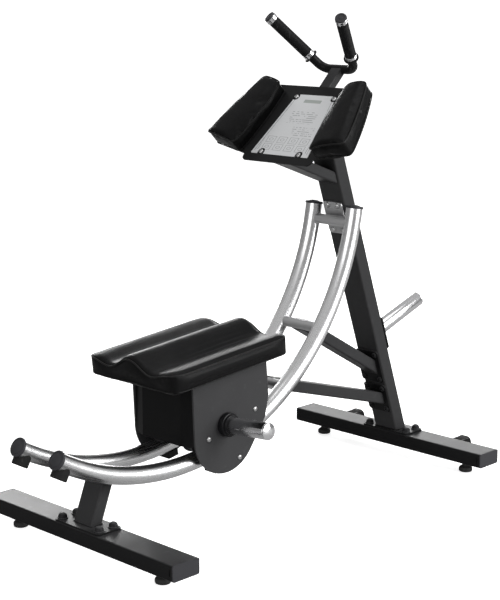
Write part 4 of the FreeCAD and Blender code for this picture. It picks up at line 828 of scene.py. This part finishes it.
@dataclass
class FloorFrame:
    """Stabilisers with their caps, plates, bolts, feet and transport wheels."""

    stations: tuple[float, float] = (-0.6306, 0.6864)
    bolt_x: float = 0.078
    bolt_y: float = 0.025
    plate_top: float = 0.088
    foot_x: float = 0.305
    scallops: int = 12

    def build(self) -> None:
        """Dress the tubes and make the turned pieces."""
        Bench.dress(Finishes.FRAME, "rear_stabiliser", "front_stabiliser", "base_plates", "wheel_brackets")
        Bench.dress(Finishes.MAST, "rear_post")
        Bench.dress(Finishes.PLASTIC, "stabiliser_end_caps")
        Bench.dress(Finishes.ZINC, "wheel_axles")
        self.bolts()
        for end, y in zip(("rear", "front"), self.stations):
            for side in Side:
                self.foot(f"levelling_foot_{end}_{side.label}", Vector((side.value * self.foot_x, y, 0)))
        for side in Side:
            self.wheel(side)

    def bolts(self) -> None:
        """Domed caps on washers over the base plate bolts."""
        profile = [(0, 16.5), (4.5, 15.9), (8.5, 13.9), (11.5, 10.4), (12.8, 6), (13, 3), (15, 2.8),
                   (15.5, 0), (5, 0), (5, -19), (0, -19)]
        seats = [Vector((i * self.bolt_x, y + j * self.bolt_y, self.plate_top))
                 for y in self.stations for i in (-1, 1) for j in (-1, 1)]
        forms = [Bench.turned(profile, seat, UP, 40, 0.0004) for seat in seats]
        Bench.piece("base_bolt_caps", Bench.joined(forms), Finishes.BLACK_BOLT, "frame", ["base_plate_bolts"])

    def foot(self, node: str, centre: Vector) -> None:
        """Levelling foot with a scalloped rim, a lock nut and a thread."""
        profile = [(0, 0), (18.5, 0), (21.2, 1.4), (22, 4), (22, 10), (20.8, 14), (17, 16.5), (12, 19.5),
                   (11, 22), (11, 30), (4.7, 30.5), (4.7, 59), (0, 59)]
        rim, depth = 0.0205, 0.0007
        form = Bench.turned(profile, centre, UP, 48)
        for vert in form.verts:
            out = (vert.co - centre) * Vector((1, 1, 0))
            if out.length > rim:
                wave = (1 + math.cos(self.scallops * math.atan2(out.y, out.x))) / 2
                vert.co -= out.normalized() * depth * wave
        Bench.piece(node + "_pad", form, Finishes.FOOT, node, [node])

    def wheel(self, side: Side) -> None:
        """Transport wheel with a treaded rim and a recessed web."""
        node = f"{side.label}_transport_wheel"
        half = [(6.1, 13), (12.5, 13), (14.5, 11.5), (15.5, 6.5), (21.5, 6.5), (23.5, 12), (27.5, 13),
                (30, 11.8), (31, 9.5), (31, 5), (29.8, 4.2), (29.8, 2.8), (31, 2)]
        profile = [(radius, -along) for radius, along in half] + half[::-1]
        form = Bench.turned(profile, Machine.joint(node + "_spin"), ACROSS, 64, 0.0003)
        Bench.piece(node + "_tyre", form, Finishes.WHEEL, node, [node])


# ---- rails ----


@dataclass
class RailSet:
    """The two curved rails, their plugs, stops and cross tubes."""

    spacing: float = 0.166
    rear: float = -31.5
    front: float = 81.3
    tube_angles: tuple[float, ...] = (78.0, 52.6, 36.3)
    tube_radius: float = 0.016

    def build(self) -> None:
        """Sweep the rails and dress what lies between them."""
        for side in Side:
            node = f"{side.label}_rail"
            start = Machine.on_arc(side.value * self.spacing / 2, self.rear, Machine.ARC_RADIUS)
            run = TubeRun(Machine.RAIL_RADIUS, start, Machine.forward(self.rear), 64)
            run.round(Machine.arc_centre(), ACROSS, self.front - self.rear, 128)
            Bench.piece(node + "_tube", run.closed(), Finishes.RAILS, "frame", [node])
        self.plugs()
        self.cross_tubes()
        Bench.dress(Finishes.RUBBER, "rail_stops")
        Bench.dress(Finishes.RAILS, "rail_saddle")

    def plugs(self) -> None:
        """Plugs with a rim and a domed face."""
        profile = [(0, -12), (21.5, -12), (22.1, 0), (26.9, 0), (27.5, 0.8), (27.5, 4.8), (26.9, 6.2),
                   (25.5, 7), (22, 7), (20.7, 5.8), (19.5, 6.8), (14.5, 9.2), (8.5, 10.6), (4, 11), (0, 11)]
        forms = []
        for side in Side:
            for angle, outward in ((self.rear, -1), (self.front, 1)):
                seat = Machine.on_arc(side.value * self.spacing / 2, angle, Machine.ARC_RADIUS)
                forms.append(Bench.turned(profile, seat, Machine.forward(angle) * outward))
        Bench.piece("rail_plug_set", Bench.joined(forms), Finishes.PLASTIC, "frame", ["rail_end_plugs"])

    def cross_tubes(self) -> None:
        """Round tubes between the rails, with a weld bead at each end."""
        reach = self.spacing / 2 - Machine.RAIL_RADIUS * 0.72
        tubes, beads = [], []
        for angle in self.tube_angles:
            middle = Machine.on_arc(0, angle, Machine.ARC_RADIUS)
            run = TubeRun(self.tube_radius, middle - ACROSS * reach, ACROSS, 48)
            tubes.append(run.ahead(ACROSS * 2 * reach, 4).closed())
            beads += [self.weld(angle, middle, side) for side in Side]
        Bench.piece("cross_tube_set", Bench.joined(tubes), Finishes.DULL, "frame", ["rail_cross_tubes"])
        Bench.piece("cross_tube_welds", Bench.joined(beads), Finishes.DULL, "frame")

    def weld(self, angle: float, middle: Vector, side: Side) -> Form:
        """Rippled bead where a cross tube meets a rail.

        Args:
            angle: The tube's place on the arc, in degrees.
            middle: The tube's middle.
            side: The rail that it meets.

        Returns:
            The bead.
        """
        steps, sunk, stands, ripple = 48, 0.0001, 0.0006, 0.0004
        forward = Machine.forward(angle)
        inward = ACROSS.cross(forward)
        ring = []
        for k in range(steps):
            turn = k / steps * FULL_TURN
            out = (forward * math.cos(turn) + inward * math.sin(turn)) * (self.tube_radius - sunk)
            depth = math.sqrt(Machine.RAIL_RADIUS ** 2 - (self.tube_radius * math.sin(turn)) ** 2)
            across = self.spacing / 2 - depth - stands + ripple * math.sin(k * FULL_TURN / 3)
            ring.append(middle + out + ACROSS * side.value * across)
        return Bench.ring_bead(ring, 0.0012)


# ---- mast and braces ----


@dataclass
class MastGroup:
    """Leaning mast with its flanges, braces, storage peg and weld beads."""

    half_x: float = 0.045
    half_depth: float = 0.025
    plate: float = 0.006
    upper_station: float = 0.2545
    lower_station: float = 0.134
    storage_station: float = 0.352
    bracket_station: float = 0.7917
    saddle_angle: float = -14.0
    saddle_bolt: float = 0.024
    post_foot: tuple[float, float, float] = (0, -0.6296, 0.0885)
    sleeve_weld: float = 0.025

    def build(self) -> None:
        """Dress the tubes and add the fasteners and the peg."""
        Bench.dress(Finishes.MAST, "mast", "upper_brace", "lower_brace")
        Bench.dress(Finishes.FRAME, "brace_flanges", "storage_peg_flange")
        Bench.dress(Finishes.DULL, "rail_top_bracket")
        self.bolts()
        self.peg()
        self.welds()

    def seats(self, station: float, side: int, half_x: float, half_up: float) -> list[Vector]:
        """Four bolt seats on a plate on the mast's rear (-1) or front (1) face."""
        out = side * (self.half_depth + self.plate)
        return [Machine.on_mast(station + j * half_up, out, i * half_x) for i in (-1, 1) for j in (-1, 1)]

    def bolts(self) -> None:
        """Button bolts on the flanges, the saddle and the top bracket."""
        bolt = ButtonBolt(0.009, 0.006, 0.0036, 0.004, 0.014)
        front = Machine.MAST_FRONT
        rear = self.seats(self.upper_station, -1, 0.032, 0.0455)
        rear += self.seats(self.lower_station, -1, 0.032, 0.0385)
        forms = [bolt.form(seat, -front) for seat in rear]
        forms += [bolt.form(seat, front) for seat in self.seats(self.storage_station, 1, 0.031, 0.046)]
        forward = Machine.forward(self.saddle_angle)
        saddle = Machine.on_arc(0, self.saddle_angle, Machine.ARC_RADIUS - 0.004)
        for sign in (-1, 1):
            seat = saddle + (forward + ACROSS) * self.saddle_bolt * sign
            forms.append(bolt.form(seat, ACROSS.cross(forward)))
        Bench.piece("flange_bolt_set", Bench.joined(forms), Finishes.BLACK_BOLT, "frame", ["flange_bolts"])
        small = [bolt.form(seat, -front) for seat in self.seats(self.bracket_station, -1, 0.0195, 0.043)]
        Bench.piece("bracket_bolt_set", Bench.joined(small), Finishes.ZINC, "frame", ["top_bracket_bolts"])

    def peg(self) -> None:
        """Bright storage sleeve with a domed cap."""
        mount = Machine.mount("storage_peg_sleeve")
        axis, length = Vector(mount["axis"]), mount["dims"]["length_mm"]
        start = Vector(mount["pos_m"]) - axis * (length / 2 * MM)
        PegSleeve("storage", start, axis, length - 4).build("frame", "storage_peg", "storage_peg_cap")

    def welds(self) -> None:
        """Beads where tubes stand on plates."""
        forms = [self.bead(Machine.on_mast(0.003), self.half_x, 0.0265, UP),
                 self.bead(Vector(self.post_foot), 0.038, 0.0204, UP)]
        face = self.half_depth + self.plate
        for station, half in ((self.upper_station, 0.020), (self.lower_station, 0.021)):
            forms.append(self.bead(Machine.on_mast(station, -face), 0.030, half, -Machine.MAST_FRONT))
        sleeve = Machine.on_mast(self.storage_station, face)
        ring = [sleeve + (ACROSS * math.cos(turn) + Machine.MAST_UP * math.sin(turn)) * self.sleeve_weld
                for turn in (k / 60 * FULL_TURN for k in range(60))]
        forms.append(Bench.ring_bead(ring, 0.0022))
        Bench.piece("weld_beads", Bench.joined(forms), Finishes.FRAME, "frame")

    @staticmethod
    def bead(centre: Vector, half_x: float, half_up: float, normal: Vector) -> Form:
        """Rippled bead round a rectangle that lies across a normal in the YZ plane."""
        side = normal.cross(ACROSS).normalized()
        corners = [(-1, -1), (1, -1), (1, 1), (-1, 1)]
        steps, corner_gap, ripple, pitch = 40, 3, 0.012, 2.1
        points = []
        for (ax, ay), (bx, by) in zip(corners, corners[1:] + corners[:1]):
            for k in range(corner_gap, steps - 2):
                t, size = k / steps, 1 + ripple * math.sin(k * pitch)
                x, y = ax + (bx - ax) * t, ay + (by - ay) * t
                points.append(centre + (ACROSS * x * half_x + side * y * half_up) * size)
        return Bench.ring_bead(points, 0.0026)


@dataclass
class PegSleeve:
    """Sleeve for weight plates with a rolled end and a domed cap; sizes in millimetres."""

    label: str
    start: Vector
    axis: Vector
    length: float
    radius: float = 24.3

    def build(self, body: str, *nodes: str) -> None:
        """Make the sleeve and the cap.

        Args:
            body: Body that carries the peg.
            nodes: CAD nodes of the sleeve and of the cap.
        """
        r, end = self.radius, self.length
        sleeve = [(21.3, 0), (r, 0), (r, end - 1.2), (r - 0.8, end), (21.3, end)]
        cap = [(0, end - 10), (20.5, end - 10), (21.2, end + 0.3), (r - 0.4, end + 0.3), (r, end + 1),
               (r, end + 3.6), (r - 0.9, end + 4.7), (r - 4, end + 5.6), (r - 10, end + 7.7), (7, end + 8.7),
               (0, end + 9)]
        for part, profile, soft, node in zip(("sleeve", "dome"), (sleeve, cap), (0.0002, 0.0), nodes):
            form = Bench.turned(profile, self.start, self.axis, 96, soft)
            Bench.piece(f"{self.label}_peg_{part}", form, Finishes.CHROME, body, [node])


# ---- pads ----


@dataclass
class Cushion:
    """Foam pad under vinyl: a subdivided block shaped by a rule, swelled by a short cloth run."""

    name: str
    node: str
    body: str
    place: Matrix
    fill: float = 0.85
    cell: float = 0.0055
    pressure: float = 3.0
    limit: float = 0.0030
    cuts: int = 23

    PLAN_POWER = 12.0
    TRIM_POWER = 14.0
    STEPS = 14
    PIPING = (0.93, 0.0008)
    SEAM = (0.12, 0.0004)

    def surface(self, u: float, v: float, w: float) -> Vector:
        """Point of the pad for u across and v along, from -1 to 1, and w up, from 0 to 1."""
        raise NotImplementedError

    def relief(self, place: Vector) -> float:
        """Height of the stretch creases at a point of the upper face."""
        return 0.0

    @staticmethod
    def plan(u: float, v: float, power: float) -> tuple[float, float]:
        """Round the corners of the square that u and v span; a higher power is a tighter corner."""
        size = max(abs(u), abs(v))
        if size < SAME_PLACE:
            return u, v
        norm = (abs(u / size) ** power + abs(v / size) ** power) ** (1 / power)
        return u / norm, v / norm

    def shell(self) -> Form:
        """Subdivide a cube and shape it, then smooth what stands clear of the base."""
        form = bmesh.new()
        bmesh.ops.create_cube(form, size=2.0)
        bmesh.ops.subdivide_edges(form, edges=form.edges[:], cuts=self.cuts, use_grid_fill=True)
        for vert in form.verts:
            u, v = self.plan(vert.co.x, vert.co.y, self.PLAN_POWER)
            vert.co = self.surface(u, v, (vert.co.z + 1) / 2)
        soft = [v for v in form.verts if v.co.z > 0.012]
        bmesh.ops.smooth_vert(form, verts=soft, factor=0.35, use_axis_x=True, use_axis_y=True,
                              use_axis_z=True)
        bmesh.ops.recalc_face_normals(form, faces=form.faces[:])
        return form

    def swell(self, made: bpy.types.Object) -> None:
        """Run the pressure cloth and keep each point within the limit of its rest place."""
        remesh = made.modifiers.new("remesh", "REMESH")
        remesh.mode, remesh.voxel_size, remesh.use_smooth_shade = "VOXEL", self.cell, True
        self.settle(made)
        rest = [v.co.copy() for v in made.data.vertices]
        cloth = made.modifiers.new("cloth", "CLOTH").settings
        cloth.use_pressure, cloth.uniform_pressure_force, cloth.quality = True, self.pressure, 5
        cloth.effector_weights.gravity = 0.0
        for step in range(1, self.STEPS + 1):
            bpy.context.scene.frame_set(step)
            bpy.context.view_layer.update()
        self.settle(made)
        bpy.context.scene.frame_set(1)
        for vert, start in zip(made.data.vertices, rest):
            move = vert.co - start
            cap = self.limit * min(1.0, max(0.0, start.z / 0.02))
            if move.length > cap:
                vert.co = start + move.normalized() * cap

    def crease(self, made: bpy.types.Object) -> None:
        """Press the creases into the upper face, after the swelling."""
        rises = [vert.normal.z for vert in made.data.vertices]
        for vert, rise in zip(made.data.vertices, rises):
            if rise > 0.5:
                vert.co.z += self.relief(vert.co)

    @staticmethod
    def settle(made: bpy.types.Object) -> None:
        """Apply every modifier of an object to its mesh."""
        graph = bpy.context.evaluated_depsgraph_get()
        final = bpy.data.meshes.new_from_object(made.evaluated_get(graph))
        made.modifiers.clear()
        old, made.data = made.data, final
        bpy.data.meshes.remove(old)

    def build(self) -> None:
        """Make the pad, with its cloth run, and its trim."""
        made = Bench.placed(self.name, Bench.meshed(self.name, self.shell()))
        self.swell(made)
        smooth = made.modifiers.new("smooth", "SUBSURF")
        smooth.levels = smooth.render_levels = 1
        self.settle(made)
        self.crease(made)
        made.data.transform(self.place)
        made.data.shade_smooth()
        made.data.materials.clear()
        made.data.materials.append(Finishes.VINYL.make())
        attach(made, self.body)
        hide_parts(self.node)
        LOG.info("%s: %d faces", self.name, len(made.data.polygons))
        self.trim()

    def rim(self, w: float, out: float) -> list[Vector]:
        """Closed line round the pad at one height, in the row frame.

        Args:
            w: Height, from 0 at the bottom to 1 at the top.
            out: Distance outwards from the side.

        Returns:
            Points of the line.
        """
        side = [-1 + 2 * k / 30 for k in range(30)]
        square = [(t, -1.0) for t in side] + [(1.0, t) for t in side]
        square += [(-u, -v) for u, v in square]
        middle = self.surface(0, 0, 0)
        points = []
        for u, v in square:
            point = self.surface(*self.plan(u, v, self.TRIM_POWER), w)
            away = point - middle
            away = Vector((away.x * (abs(u) > 0.97), away.y * (abs(v) > 0.97), 0))
            points.append(self.place @ (point + away.normalized() * out))
        return points

    def trim(self) -> None:
        """Sew the piping and the seam round the pad."""
        beads = [Bench.ring_bead(self.rim(*line), radius)
                 for line, radius in ((self.PIPING, 0.0023), (self.SEAM, 0.0013))]
        Bench.piece(self.name + "_piping", Bench.joined(beads), Finishes.PIPING, self.body)


def ramp(value: float, start: float, end: float) -> float:
    """Straight rise from 0 at start to 1 at end; end may be less than start."""
    return max(0.0, min(1.0, (value - start) / (end - start)))


@dataclass
class KneePad(Cushion):
    """Wide pad with two knee channels and a centre ridge."""

    PLAN_POWER = 20.0

    half: float = 0.1825
    length: float = 0.455
    edge: float = 0.059
    crest: float = 0.024
    valley: float = 0.013
    valley_x: float = 0.088
    cuts: int = 35

    def top(self, x: float) -> float:
        """Height of the upper face at a distance across."""
        across = abs(x)
        if across < self.valley_x:
            blend = 0.5 + 0.5 * math.cos(math.pi * across / self.valley_x)
            return self.edge - self.valley + (self.crest + self.valley) * blend
        share = min(1.0, (across - self.valley_x) / (self.half * 0.86 - self.valley_x))
        return self.edge - self.valley + self.valley * (0.5 - 0.5 * math.cos(math.pi * share))

    def surface(self, u: float, v: float, w: float) -> Vector:
        """Point of the pad."""
        x, y = u * self.half, (v + 1) / 2 * self.length
        height = self.top(x) - 0.0022 * ramp(max(abs(u), abs(v)), 0.95, 1.0) ** 2
        tuck = 1 - 0.016 * ramp(w, 0.12, 0.0)
        return Vector((x * tuck, self.length / 2 + (y - self.length / 2) * tuck, 0.0006 + height * w))

    def relief(self, place: Vector) -> float:
        """Long creases in the channels, beside the ridge, and a faint unevenness."""
        across, along = abs(place.x), place.y
        drift = noise.noise(Vector((place.x * 6, along * 7, 1.7)))
        band = math.exp(-((across - 0.072 - drift * 0.006) / 0.022) ** 2)
        reach = ramp(along, 0.10, 0.24) * ramp(along, self.length - 0.03, self.length - 0.11)
        lines = math.sin(across * FULL_TURN / 0.0165 + drift * 2.6)
        patchy = 0.65 + 0.7 * noise.noise(Vector((place.x * 20, along * 8, 4.2)))
        edge = min(ramp(across, self.half, self.half - 0.02), ramp(along, 0.0, 0.02),
                   ramp(along, self.length, self.length - 0.02))
        uneven = noise.noise(Vector((place.x * 24, along * 9, 3.1))) * 0.0008 * edge
        return lines * band * reach * patchy * 0.0011 + uneven


@dataclass
class ElbowPad(Cushion):
    """Pad that narrows and thins towards the handlebar."""

    sign: int = 1
    low_inner: tuple[float, float] = (0.1535, -0.013)
    low_outer: tuple[float, float] = (0.277, 0.0125)
    high_inner: tuple[float, float] = (0.1325, 0.240)
    high_outer: tuple[float, float] = (0.209, 0.253)
    low_thick: tuple[float, float] = (0.050, 0.061)
    high_thick: tuple[float, float] = (0.041, 0.049)
    crown: float = 0.0120
    bow: float = 0.0080
    cuts: int = 21
    PLAN_POWER = 28.0
    SEAM = (0.10, 0.0004)

    def surface(self, u: float, v: float, w: float) -> Vector:
        """Point of the pad, in tray coordinates."""
        a, b = (u + 1) / 2, (v + 1) / 2
        corners = [Vector(c) for c in (self.low_inner, self.low_outer, self.high_inner, self.high_outer)]
        foot = corners[0].lerp(corners[1], a).lerp(corners[2].lerp(corners[3], a), b)
        foot += Vector((self.bow * u * (1 - v * v), 0))
        low = self.low_thick[0] + (self.low_thick[1] - self.low_thick[0]) * a
        high = self.high_thick[0] + (self.high_thick[1] - self.high_thick[0]) * a
        side = max(abs(u), abs(v))
        height = low + (high - low) * b + self.crown * (1 - abs(u) ** 3) - 0.0025 * ramp(side, 0.93, 1.0) ** 2
        if w > 0.99:
            uneven = noise.noise(Vector((foot.x * 22, foot.y * 22, 5.0 + self.sign)))
            height += uneven * 0.0009 * (1 - side ** 6)
        centre = sum(corners, Vector((0, 0))) / 4
        foot = centre + (foot - centre) * (1 - 0.02 * ramp(w, 0.12, 0.0))
        return Vector((self.sign * foot.x, foot.y, 0.0006 + height * w))


# ---- tray and handlebar ----


@dataclass
class TrayGroup:
    """Elbow tray with its spine, arm, printed plate, bolts and pads."""

    bolt_x: float = 0.0765
    bolt_high: float = 0.220

    def build(self) -> None:
        """Dress the sheet work and make the pads."""
        Bench.dress(Finishes.FRAME, "elbow_tray")
        Bench.dress(Finishes.MAST, "tray_spine", "tray_arm")
        Bench.dress(Finishes.PLATE, "placard")
        bolt = ButtonBolt(0.0075, 0.005, 0.0030, 0.004, 0.0045)
        forms = [bolt.form(Machine.on_tray(i * self.bolt_x, s, 0), Machine.TRAY_NORMAL)
                 for i in (-1, 1) for s in (0.0, self.bolt_high)]
        Bench.piece("tray_bolt_set", Bench.joined(forms), Finishes.ZINC, "frame", ["tray_bolts"])
        for side in Side:
            ElbowPad(f"{side.label}_elbow_cushion", f"{side.label}_elbow_pad", "frame", Machine.tray_frame(),
                     sign=side.value).build()


@dataclass
class Handlebar:
    """Bent bar with ribbed grips, collars and end plugs."""

    radius: float = 0.014
    half: float = 0.062
    bend: float = 0.038
    station: float = 0.353
    depth: float = -0.0165
    splay: float = 20.0
    grip_start: float = 0.055
    grip_length: float = 0.186

    def build(self) -> None:
        """Bend the bar, then fit the grips."""
        self.bar()
        for side in Side:
            self.grip(side)
        collars = [self.collar(side, start) for side in Side for start in (4, 166)]
        plugs = [self.plug(side) for side in Side]
        Bench.piece("grip_collar_set", Bench.joined(collars), Finishes.CHROME, "frame", ["grip_collars"])
        Bench.piece("grip_plug_set", Bench.joined(plugs), Finishes.PLASTIC, "frame", ["grip_end_plugs"])

    def axis(self, side: Side) -> Vector:
        """Direction of a grip in the row frame."""
        splay = math.radians(self.splay)
        local = Vector((side.value * math.sin(splay), 0, math.cos(splay)))
        return (Matrix.Rotation(Machine.TRAY_TILT, 3, "X") @ local).normalized()

    def turned(self, side: Side, profile: Profile, sides: int = 64) -> Form:
        """Piece turned on a grip's axis, from where the grip starts."""
        start = Machine.on_tray(side.value * self.half, self.station, self.depth)
        return Bench.turned(profile, start + self.axis(side) * self.grip_start, self.axis(side), sides)

    def bar(self) -> None:
        """Sweep the bar through its two bends."""
        turn = 90 - self.splay
        setback = self.bend * math.tan(math.radians(turn / 2))
        reach = self.grip_start + self.grip_length - 0.006 - setback
        left, right = self.axis(Side.LEFT), self.axis(Side.RIGHT)
        corner = Machine.on_tray(-self.half, self.station, self.depth)
        run = TubeRun(self.radius, corner + left * (setback + reach), -left, 48)
        run.ahead(-left * reach)
        run.round(self.pivot(Side.LEFT, setback), ACROSS.cross(left).normalized(), turn, 14)
        run.ahead(ACROSS * 2 * (self.half - setback))
        run.round(self.pivot(Side.RIGHT, setback), ACROSS.cross(right).normalized(), turn, 14)
        run.ahead(right * reach)
        Bench.piece("handlebar_tube", run.closed(), Finishes.FRAME, "frame", ["handlebar"])

    def pivot(self, side: Side, setback: float) -> Vector:
        """Centre of a bend."""
        return Machine.on_tray(side.value * (self.half - setback), self.station,
                               self.depth) + Machine.TRAY_NORMAL * self.bend

    def grip(self, side: Side) -> None:
        """Rubber sleeve with a flange and fine ribs."""
        end = self.grip_length / MM - 6
        low, high, pitch = 19.5, end - 15.5, 3.2
        count = int((high - low) / pitch)
        profile = [(14.2, 0), (22.2, 0), (23, 0.8), (23, 3.2), (22.2, 4), (15.5, 4), (15.5, 18)]
        for at in (low + k * (high - low) / count for k in range(count)):
            profile += [(16.6, at), (17.5, at + 0.8), (17.5, at + 1.9), (16.6, at + 2.7)]
        profile += [(15.5, end - 14), (15.5, end), (14.2, end)]
        name = f"{side.label}_hand_grip"
        form = self.turned(side, profile, 56)
        Bench.piece(name + "_sleeve", form, Finishes.GRIP, "frame", [name], crease=60.0)

    def collar(self, side: Side, start: float) -> Form:
        """Bright ring with a shallow groove, from a distance in millimetres up the grip."""
        profile = [(15.7, 0), (17.8, 0), (18.6, 1), (18.6, 5.5), (18, 6.2), (18, 7.4), (18.6, 8.1),
                   (18.6, 13), (17.8, 13.9), (15.7, 13.9)]
        return self.turned(side, [(radius, start + along) for radius, along in profile])

    def plug(self, side: Side) -> Form:
        """End plug with a ringed face."""
        profile = [(0, 18), (11.2, 18), (11.2, 5.8), (17.2, 5.8), (17.5, 5), (17.5, 2), (16.8, 0.6),
                   (15.5, 0), (12.5, 0), (11.5, 1.4), (6.2, 1.4), (5.2, 0.2), (0, 0)]
        return self.turned(side, [(radius, self.grip_length / MM - down) for radius, down in profile], 56)


# ---- carriage ----


@dataclass
class Carriage:
    """Rolling carriage with its plates, pad, rollers, bolts and weight peg."""

    plate_outer: float = 0.128
    knee_place: tuple[float, float, float] = (0, -0.4665, 0.4451)
    collar_height: float = 0.028
    proud: float = 0.0001

    def build(self) -> None:
        """Dress the plates and make the pad, bolts and peg."""
        Bench.dress(Finishes.CARRIAGE, "left_side_plate", "right_side_plate", "seat_pan")
        Bench.dress(Finishes.COVER, "rear_cover")
        Bench.dress(Finishes.RUBBER, "travel_bumpers")
        Bench.dress(Finishes.BRONZE, "roller_bushes")
        self.rollers()
        self.peg()
        place = Matrix.Translation(Vector(self.knee_place)) @ Matrix.Rotation(Machine.KNEE_PITCH, 4, "X")
        KneePad("knee_cushion", "knee_pad", "carriage", place).build()

    def rollers(self) -> None:
        """Dress the rollers and put their shoulder bolts through them to the nuts."""
        forms = []
        for side in Side:
            for row, half in (("rear_upper", 0.020), ("front_upper", 0.020), ("lower", 0.010)):
                roller = f"{side.label}_{row}_roller"
                Bench.dress(Finishes.ROLLER, roller)
                axle = Machine.joint(roller + "_spin")
                seat = Vector((side.value * self.plate_outer, axle.y, axle.z))
                bolt = ButtonBolt(0.0075, 0.0045, 0.0028, 0.005,
                                  reach=self.plate_outer - abs(axle.x) + half + 0.009, nut=0.0080)
                forms.append(bolt.form(seat, ACROSS * side.value))
        Bench.piece("roller_bolt_set", Bench.joined(forms), Finishes.ZINC, "carriage", ["roller_bolts"])

    def peg(self) -> None:
        """Stepped collar and bright sleeve on the right side."""
        mount = Machine.mount("weight_peg_sleeve")
        axis, length = Vector(mount["axis"]), mount["dims"]["length_mm"] * MM
        seat = Vector(mount["pos_m"]) - axis * (length / 2 + self.collar_height)
        PegSleeve("weight", seat + axis * 0.002, axis, 163).build("carriage", "weight_peg", "weight_peg_cap")
        profile = [(24.5, 3), (34, 3), (35, 3.6), (35, 17), (34, 19.2), (32.2, 20), (31.1, 20), (30.5, 20.6),
                   (30.5, 26.2), (29.3, 27.6), (27.5, 28), (24.5, 28)]
        form = Bench.turned(profile, seat, axis, 96)
        face = self.plate_outer + self.proud
        for vert in form.verts:
            foot = (vert.co - seat).dot(axis) < 0.0034
            vert.co.x = face if foot else max(vert.co.x, face)
        Bench.piece("peg_collar_ring", form, Finishes.COLLAR, "carriage", ["weight_peg_collar"])


def main() -> None:
    """Build the studio and every sub-assembly."""
    logging.basicConfig(level=logging.INFO, format="%(message)s")
    Studio().build()
    for group in (FloorFrame(), RailSet(), MastGroup(), TrayGroup(), Handlebar(), Carriage()):
        group.build()
        LOG.info("built %s", type(group).__name__)


if __name__ == "__main__":
    main()
